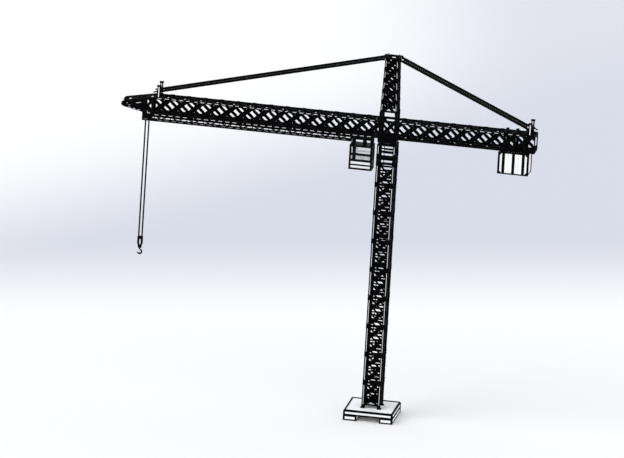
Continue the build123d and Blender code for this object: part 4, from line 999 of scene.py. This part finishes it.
places = combos((trolley["x"] - trolley["sheaveX"], trolley["x"] + trolley["sheaveX"]), (0,), (trolley["z"],))
shapes = [sheaves(places, trolley["sheave"])]
piece("trolley_rope_sheaves", shapes, sheaveMetal, "trolley", ("trolley_sheaves",))

# hook block: grooved sheave, axle covers and tie bolts on both cheeks, as (x from the middle, height)
block = dict(
    x=-20.38, sheaveZ=13.36, face=0.085, sheave=dict(trolley["sheave"], radius=0.09, groove=0.036),
    cover=[(0, 0.062), (0.01, 0.062), (0.012, 0.045), (0.032, 0.043), (0.036, 0.034)],
    screws=6, screwCircle=0.053, screw=0.005, screwHeight=0.016, bolt=0.014, head=0.02,
    bolts=[
        (-0.18, 13.43), (0.18, 13.43), (-0.19, 13.2), (0.19, 13.2), (-0.19, 12.96), (0.19, 12.96),
        (-0.12, 12.69), (0.12, 12.69), (0.0, 12.67),
    ],
    crossX=0.11, crossFace=0.1, crossLevels=(12.53, 12.59), crossBolt=0.012, crossHead=0.018,
)
place = np.array([[block["x"], 0, block["sheaveZ"]]])
shapes = [sheaves(place, block["sheave"])]
piece("block_rope_sheave", shapes, sheaveMetal, "hook_block", ("block_sheave",))
boltX, boltZ = np.transpose(block["bolts"])[..., None]
screws = roundAxis(turns(block["screws"], 0.5), xAxis, zAxis) * block["screwCircle"]
crossX = (block["x"] - block["crossX"], block["x"] + block["crossX"])
shapes = []
for way in (-1, 1):
    out = yAxis * way
    centre = place + out * block["face"]
    shapes.append(turned(centre, out, block["cover"], steps=28))
    shapes += bolts(centre + screws, out, block["screw"], block["screwHeight"])
    spots = xAxis * (block["x"] + boltX) + zAxis * boltZ + out * block["face"]
    shapes += bolts(spots, out, block["bolt"], block["head"])
    spots = combos(crossX, (way * block["crossFace"],), block["crossLevels"])
    shapes += bolts(spots, out, block["crossBolt"], block["crossHead"])
piece("block_axle_covers", shapes, machineSteel, "hook_block")

# hoist rope: each fall is six strands, P(t) = (R cos(k t + p), R sin(k t + p), z),
# laid the other way on the other fall
rope = dict(strands=6, around=0.045, strand=0.0245, lay=0.62, step=0.062, low=13.36, high=23.7753)
height = np.linspace(rope["low"], rope["high"], int((rope["high"] - rope["low"]) / rope["step"]) + 1)
shapes = []
for way in (-1, 1):
    winding = turns(rope["strands"])[:, None] + way * 2 * np.pi * (height - rope["low"]) / rope["lay"]
    spokes = roundAxis(winding, xAxis, yAxis)
    middle = xAxis * (trolley["x"] + way * trolley["fall"]) + zAxis * height[:, None]
    shapes.append(swept(middle + spokes * rope["around"], rope["strand"], steps=6, lean=spokes))
ropes = piece("hoist_rope_strands", shapes, ropeMetal, replaced=("hoist_ropes",), sharp=80.0)
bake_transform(ropes)
print("trolley, ropes and hook block done")

# cab: bars as (place, width), the walls' uprights, and the feet between which the lower panels stand
cab = dict(
    front=-3.13, rear=-1.18, half=0.56, low=21.27, high=23.37, gasket=0.016, gasketBack=0.012,
    bead=[(-0.014, 0), (0.014, 0), (0.009, 0.007), (-0.009, 0.007)], beadBack=0.01, beadEnd=0.05, beads=3,
    levels=[(21.36, 0.06), (21.67056, 0.06), (22.05468, 0.19), (22.58928, 0.18), (23.28, 0.06)],
    sidePosts=[(-3.10, 0.06), (-2.7205, 0.26), (-1.27, 0.18)], sideFeet=[(-3.10, 0.06), (-1.21, 0.06)],
    frontPosts=[(-0.49, 0.06), (0.49, 0.06)], rearPosts=[(-0.49, 0.06), (-0.34, 0.06)],
    otherRearPosts=[(0.34, 0.06), (0.49, 0.06)],
)


# the low and high ends of each gap between bars given as (place, width)
def gaps(spans):
    place, width = np.transpose(spans)
    return np.stack([place[:-1] + width[:-1] / 2, place[1:] - width[1:] / 2], axis=-1)


cabFaces = [
    (-yAxis, xAxis, cab["half"], "sidePosts", "sideFeet"), (yAxis, xAxis, cab["half"], "sidePosts", "sideFeet"),
    (-xAxis, yAxis, -cab["front"], "frontPosts", "frontPosts"),
    (xAxis, yAxis, cab["rear"], "rearPosts", "rearPosts"),
    (xAxis, yAxis, cab["rear"], "otherRearPosts", "otherRearPosts"),
]
gasketOutline = oblong(cab["gasket"] * 2, cab["gasket"])
gaskets, beads = [], []
for out, along, reach, uprights, feet in cabFaces:
    for left, right in gaps(cab[uprights]):
        for low, high in gaps(cab["levels"][2:]):
            pane = oblong(right - left, high - low, (left + right) / 2, (low + high) / 2)
            corners = pane[:, :1] * along + pane[:, 1:] * zAxis + out * (reach - cab["gasketBack"])
            gaskets.append(bars(corners, np.roll(corners, -1, axis=0), gasketOutline, out))
    for left, right in gaps(cab[feet]):
        for low, high in gaps(cab["levels"][:3]):
            rows = np.linspace(low, high, cab["beads"] + 2)[1:-1, None] * zAxis + out * (reach - cab["beadBack"])
            begin, end = rows + along * (left + cab["beadEnd"]), rows + along * (right - cab["beadEnd"])
            beads.append(bars(begin, end, cab["bead"], out))
piece("cab_window_gaskets", gaskets, rubber, "superstructure")
piece("cab_panel_beads", beads, cabSheet, "superstructure")

# its roof: ribs, a lip all round, hanger feet; then strips along the cab's edges and a belt under the windows
trim = dict(
    ribs=(-2.9, -1.42, 6), ribHalf=0.5, rib=[(-0.03, 0), (0.03, 0), (0.02, 0.014), (-0.02, 0.014)],
    lipWidth=0.03, lip=0.016, lipLevel=23.35, hangerShare=(0.13, 0.6, 0.92), hangerY=0.48, hangerTopY=0.71,
    hangerTop=23.98, strip=0.15, sheet=0.01, belt=0.13, beltSheet=0.012, beltLevel=21.68,
)
roofPlate = dict(
    outline=oblong(0.24, 0.24), thickness=0.016, bolt=0.012, head=0.02, bolts=combos((-0.098, 0.098), (-0.098, 0.098)),
)
hangerPlate = dict(
    outline=oblong(0.15, 0.2), thickness=0.014, bolt=0.012, head=0.02, bolts=combos((-0.045, 0.045), (-0.065, 0.065)),
)
walls = [
    (-yAxis, xAxis, cab["half"], cab["front"], cab["rear"]), (yAxis, xAxis, cab["half"], cab["front"], cab["rear"]),
    (-xAxis, yAxis, -cab["front"], -cab["half"], cab["half"]), (xAxis, yAxis, cab["rear"], -cab["half"], cab["half"]),
]
ribs = np.linspace(*trim["ribs"])[:, None] * xAxis + zAxis * cab["high"]
shapes = [bars(ribs - yAxis * trim["ribHalf"], ribs + yAxis * trim["ribHalf"], trim["rib"], zAxis)]
lipOutline = oblong(trim["lipWidth"], trim["lip"], 0, trim["lip"] / 2)
for out, along, reach, first, last in walls:
    lip = out * reach + zAxis * trim["lipLevel"]
    past = along * abs(along[1]) * trim["lip"]
    shapes.append(bars(lip + along * first - past, lip + along * last + past, lipOutline, out))
hangerX = cab["front"] + (cab["rear"] - cab["front"]) * np.array(trim["hangerShare"])
shapes += bolted(combos(hangerX, (-trim["hangerY"], trim["hangerY"]), (cab["high"],)), zAxis, xAxis, roofPlate)
for way in (-1, 1):
    places = combos(hangerX, (way * trim["hangerTopY"],), (trim["hangerTop"],))
    shapes += bolted(places, yAxis * way, zAxis, hangerPlate)
low, high = (cab["front"], -cab["half"], cab["low"]), (cab["rear"], cab["half"], cab["high"])
shapes += edgeStrips(low, high, trim["strip"], trim["sheet"])
for out, along, reach, first, last in walls[:3]:
    belt = out * reach + zAxis * trim["beltLevel"]
    shapes.append(bars(belt + along * first, belt + along * last, oblong(trim["beltSheet"], trim["belt"]), zAxis))
piece("cab_roof_trim", shapes, cabFrameSteel, "superstructure")

# console: sloped desk with rounded edges, two levers with ringed boots, rows of push buttons
console = dict(
    x=-2.74, top=22.11, half=0.325, leverY=(-0.2, 0.2), leverUp=0.036, buttonUp=0.037,
    buttonX=(-2.81, -2.76, -2.71), buttonY=(-0.09, -0.03, 0.03, 0.09),
    bootHeight=0.075, bootRows=11, bootRadius=0.042, bootTaper=0.35, bootRing=0.004,
    desk=[
        (-0.13, -0.006), (0.13, -0.006), (0.134, 0.0), (0.13, 0.018), (0.1, 0.034), (-0.09, 0.05), (-0.125, 0.046),
        (-0.134, 0.03),
    ],
    stick=[(0.07, 0.008), (0.15, 0.008), (0.155, 0.016), (0.175, 0.024), (0.2, 0.024), (0.215, 0.016), (0.22, 0.006)],
    button=[(0, 0.016), (0.008, 0.016), (0.008, 0.012), (0.016, 0.012), (0.018, 0.009)],
)
middle = np.array([console["x"], 0, console["top"]])
desk = bars(middle - yAxis * console["half"], middle + yAxis * console["half"], console["desk"], zAxis)
bootRows = np.linspace(0, console["bootHeight"], console["bootRows"])
bootRings = console["bootRing"] * (np.arange(console["bootRows"]) % 2)
boot = np.stack([bootRows, console["bootRadius"] - bootRows * console["bootTaper"] + bootRings], axis=-1)
levers = combos((console["x"],), console["leverY"], (console["top"] + console["leverUp"],))
buttons = combos(console["buttonX"], console["buttonY"], (console["top"] + console["buttonUp"],))
shapes = [desk, turned(levers, zAxis, boot, steps=20), turned(levers, zAxis, console["stick"], steps=16)]
shapes.append(turned(buttons, zAxis, console["button"], steps=16))
piece("console_desk", shapes, consoleSkin, "superstructure")


# a cushion: loops run from the middle of its crown over the edge, where a piping bulges, to its underside.
# Each loop is a rounded rectangle |x|^n + |y|^n = 1; the crown falls as (1 - x^2)(1 - y^2), with sewn channels across
def cushion(middle, rightward, forward, up, size, look):
    angle, power = turns(look["points"], 0.5), 2 / look["roundness"]
    ringX = np.sign(np.cos(angle)) * np.abs(np.cos(angle)) ** power
    ringY = np.sign(np.sin(angle)) * np.abs(np.sin(angle)) ** power
    piping, fall = np.transpose(look["piping"])
    above = np.linspace(look["inner"], look["outer"], look["rowsAbove"])
    below = np.linspace(look["outer"], look["inner"], look["rowsBelow"])
    scale = np.concatenate([above, piping, below])[:, None]
    lift = np.concatenate([np.ones(len(above)), fall, -np.ones(len(below))])[:, None]
    x, y = scale * ringX, scale * ringY
    swell = look["crown"] * (1 - np.clip(x, -1, 1) ** 2) * (1 - np.clip(y, -1, 1) ** 2)
    sewn = np.exp(-((((x * look["channels"] / 2) % 1) - 0.5) / look["channelWidth"]) ** 2)
    seam = look["channelDepth"] * look["crown"] * sewn
    rise = lift * size[2] / 2 + np.where(lift > look["crownFrom"], swell - seam * (1 - np.clip(y, -1, 1) ** 4), 0)
    flat = x[..., None] * rightward * size[0] / 2 + y[..., None] * forward * size[1] / 2
    return skin((middle + flat + rise[..., None] * up)[::-1][None])


seat = dict(
    x=-2.0575, floor=21.33, side=0.48, height=0.42, thick=0.12, back=0.62, backDepth=0.11, seam=0.03, sink=0.008,
    padShare=0.97, backShare=0.98,
    plinth=[
        (0, 0.13), (0.02, 0.13), (0.03, 0.05), (0.16, 0.045), (0.17, 0.07), (0.24, 0.08), (0.255, 0.15), (0.265, 0.15),
    ],
    bracketY=(-0.12, 0.12), bracketLow=(0.17, -0.08), bracketHigh=(0.225, 0.3), bracket=(0.04, 0.012),
)
padLook = dict(
    crown=0.022, crownFrom=0.8, channels=4, channelWidth=0.09, channelDepth=0.25, roundness=5,
    points=64, inner=0.04, outer=0.9, rowsAbove=12, rowsBelow=6,
    piping=[(0.955, 0.9), (0.985, 0.6), (1.0, 0.25), (1.012, 0.0), (1.0, -0.25), (0.985, -0.6), (0.95, -0.92)],
)
backLook = dict(padLook, crown=0.02)
seatTop = seat["floor"] + seat["height"]
padMiddle = (seat["x"], 0, seatTop - seat["thick"] / 2 - seat["sink"])
wide = seat["side"] * seat["padShare"]
padSize = (wide, wide, seat["thick"] - seat["seam"])
backMiddle = (seat["x"] + seat["side"] / 2 - seat["backDepth"] / 2, 0, seatTop + seat["back"] / 2)
backSize = (wide, seat["back"] * seat["backShare"], seat["backDepth"] - seat["seam"])
shapes = [
    cushion(np.array(padMiddle), -yAxis, xAxis, zAxis, padSize, padLook),
    cushion(np.array(backMiddle), -yAxis, zAxis, -xAxis, backSize, backLook),
]
seatCushions = piece(
    "seat_cushions", shapes, seatFabric, "superstructure", ("cab_seat",), sharp=60.0,
)

# its plinth, and two brackets that carry the back
shapes = [turned((seat["x"], 0, seat["floor"]), zAxis, seat["plinth"], steps=28)]
bracketLow, bracketHigh = (
    combos((seat["x"] + ahead,), seat["bracketY"], (seatTop + up,))
    for ahead, up in (seat["bracketLow"], seat["bracketHigh"])
)
shapes.append(bars(bracketLow, bracketHigh, oblong(*seat["bracket"]), xAxis))
piece("seat_plinth", shapes, machineSteel, "superstructure")
print("cab details done")

# floor and light: pale ground with a grey-blue band far behind the crane. The slopes turn a place into how far it
# lies along the band's edge, aside of it, and behind it; each fades over its own pair of limits
stage = dict(
    size=420.0, pale=(0.89, 0.88, 0.86), grey=(0.608, 0.625, 0.684), rough=0.9,
    edgeSlope=(4.17, -2.592), edge=(-364.0, -234.0), asideSlope=(11.806, 2.04), aside=(-51.0, 189.0), asideShare=0.8,
    depthSlope=(-1.22, 3.102), depth=(96.0, 181.0),
    lamp=1.1, lampWidth=40.0, lampTurn=(38.0, -20.0, -30.0), sky=0.93, skyColour=(0.93, 0.95, 1.0),
)


def floorFinish(look):
    mat, shader, place = startMaterial("floor")
    east, north = axisOf(place, "X"), axisOf(place, "Y")
    edge, aside, depth = (
        (east * look[name + "Slope"][0] + north * look[name + "Slope"][1]).smooth(*look[name])
        for name in ("edge", "aside", "depth")
    )
    pale = (1.0 - edge) * (1.0 - aside * look["asideShare"])
    join(shader, "Base Color", blendColours((1.0 - pale) * depth, look["pale"], look["grey"]))
    shader.inputs["Roughness"].default_value = look["rough"]
    return mat


floorMesh = bpy.data.meshes.new("floor")
floorMesh.from_pydata(raised(oblong(stage["size"], stage["size"]), 0.0).tolist(), [], [(0, 1, 2, 3)])
floorMesh.materials.append(floorFinish(stage))
floor = bpy.data.objects.new("floor", floorMesh)
bpy.context.scene.collection.objects.link(floor)

sun = bpy.data.lights.new("sun", "SUN")
sun.energy = stage["lamp"]
sun.angle = np.radians(stage["lampWidth"])
sunObject = bpy.data.objects.new("sun", sun)
sunObject.rotation_euler = np.radians(stage["lampTurn"])
bpy.context.scene.collection.objects.link(sunObject)

world = bpy.data.worlds.new("sky")
world.use_nodes = True
bpy.context.scene.world = world
background = world.node_tree.nodes["Background"]
background.inputs["Color"].default_value = (*stage["skyColour"], 1.0)
background.inputs["Strength"].default_value = stage["sky"]
bpy.context.scene.view_settings.view_transform = "Standard"
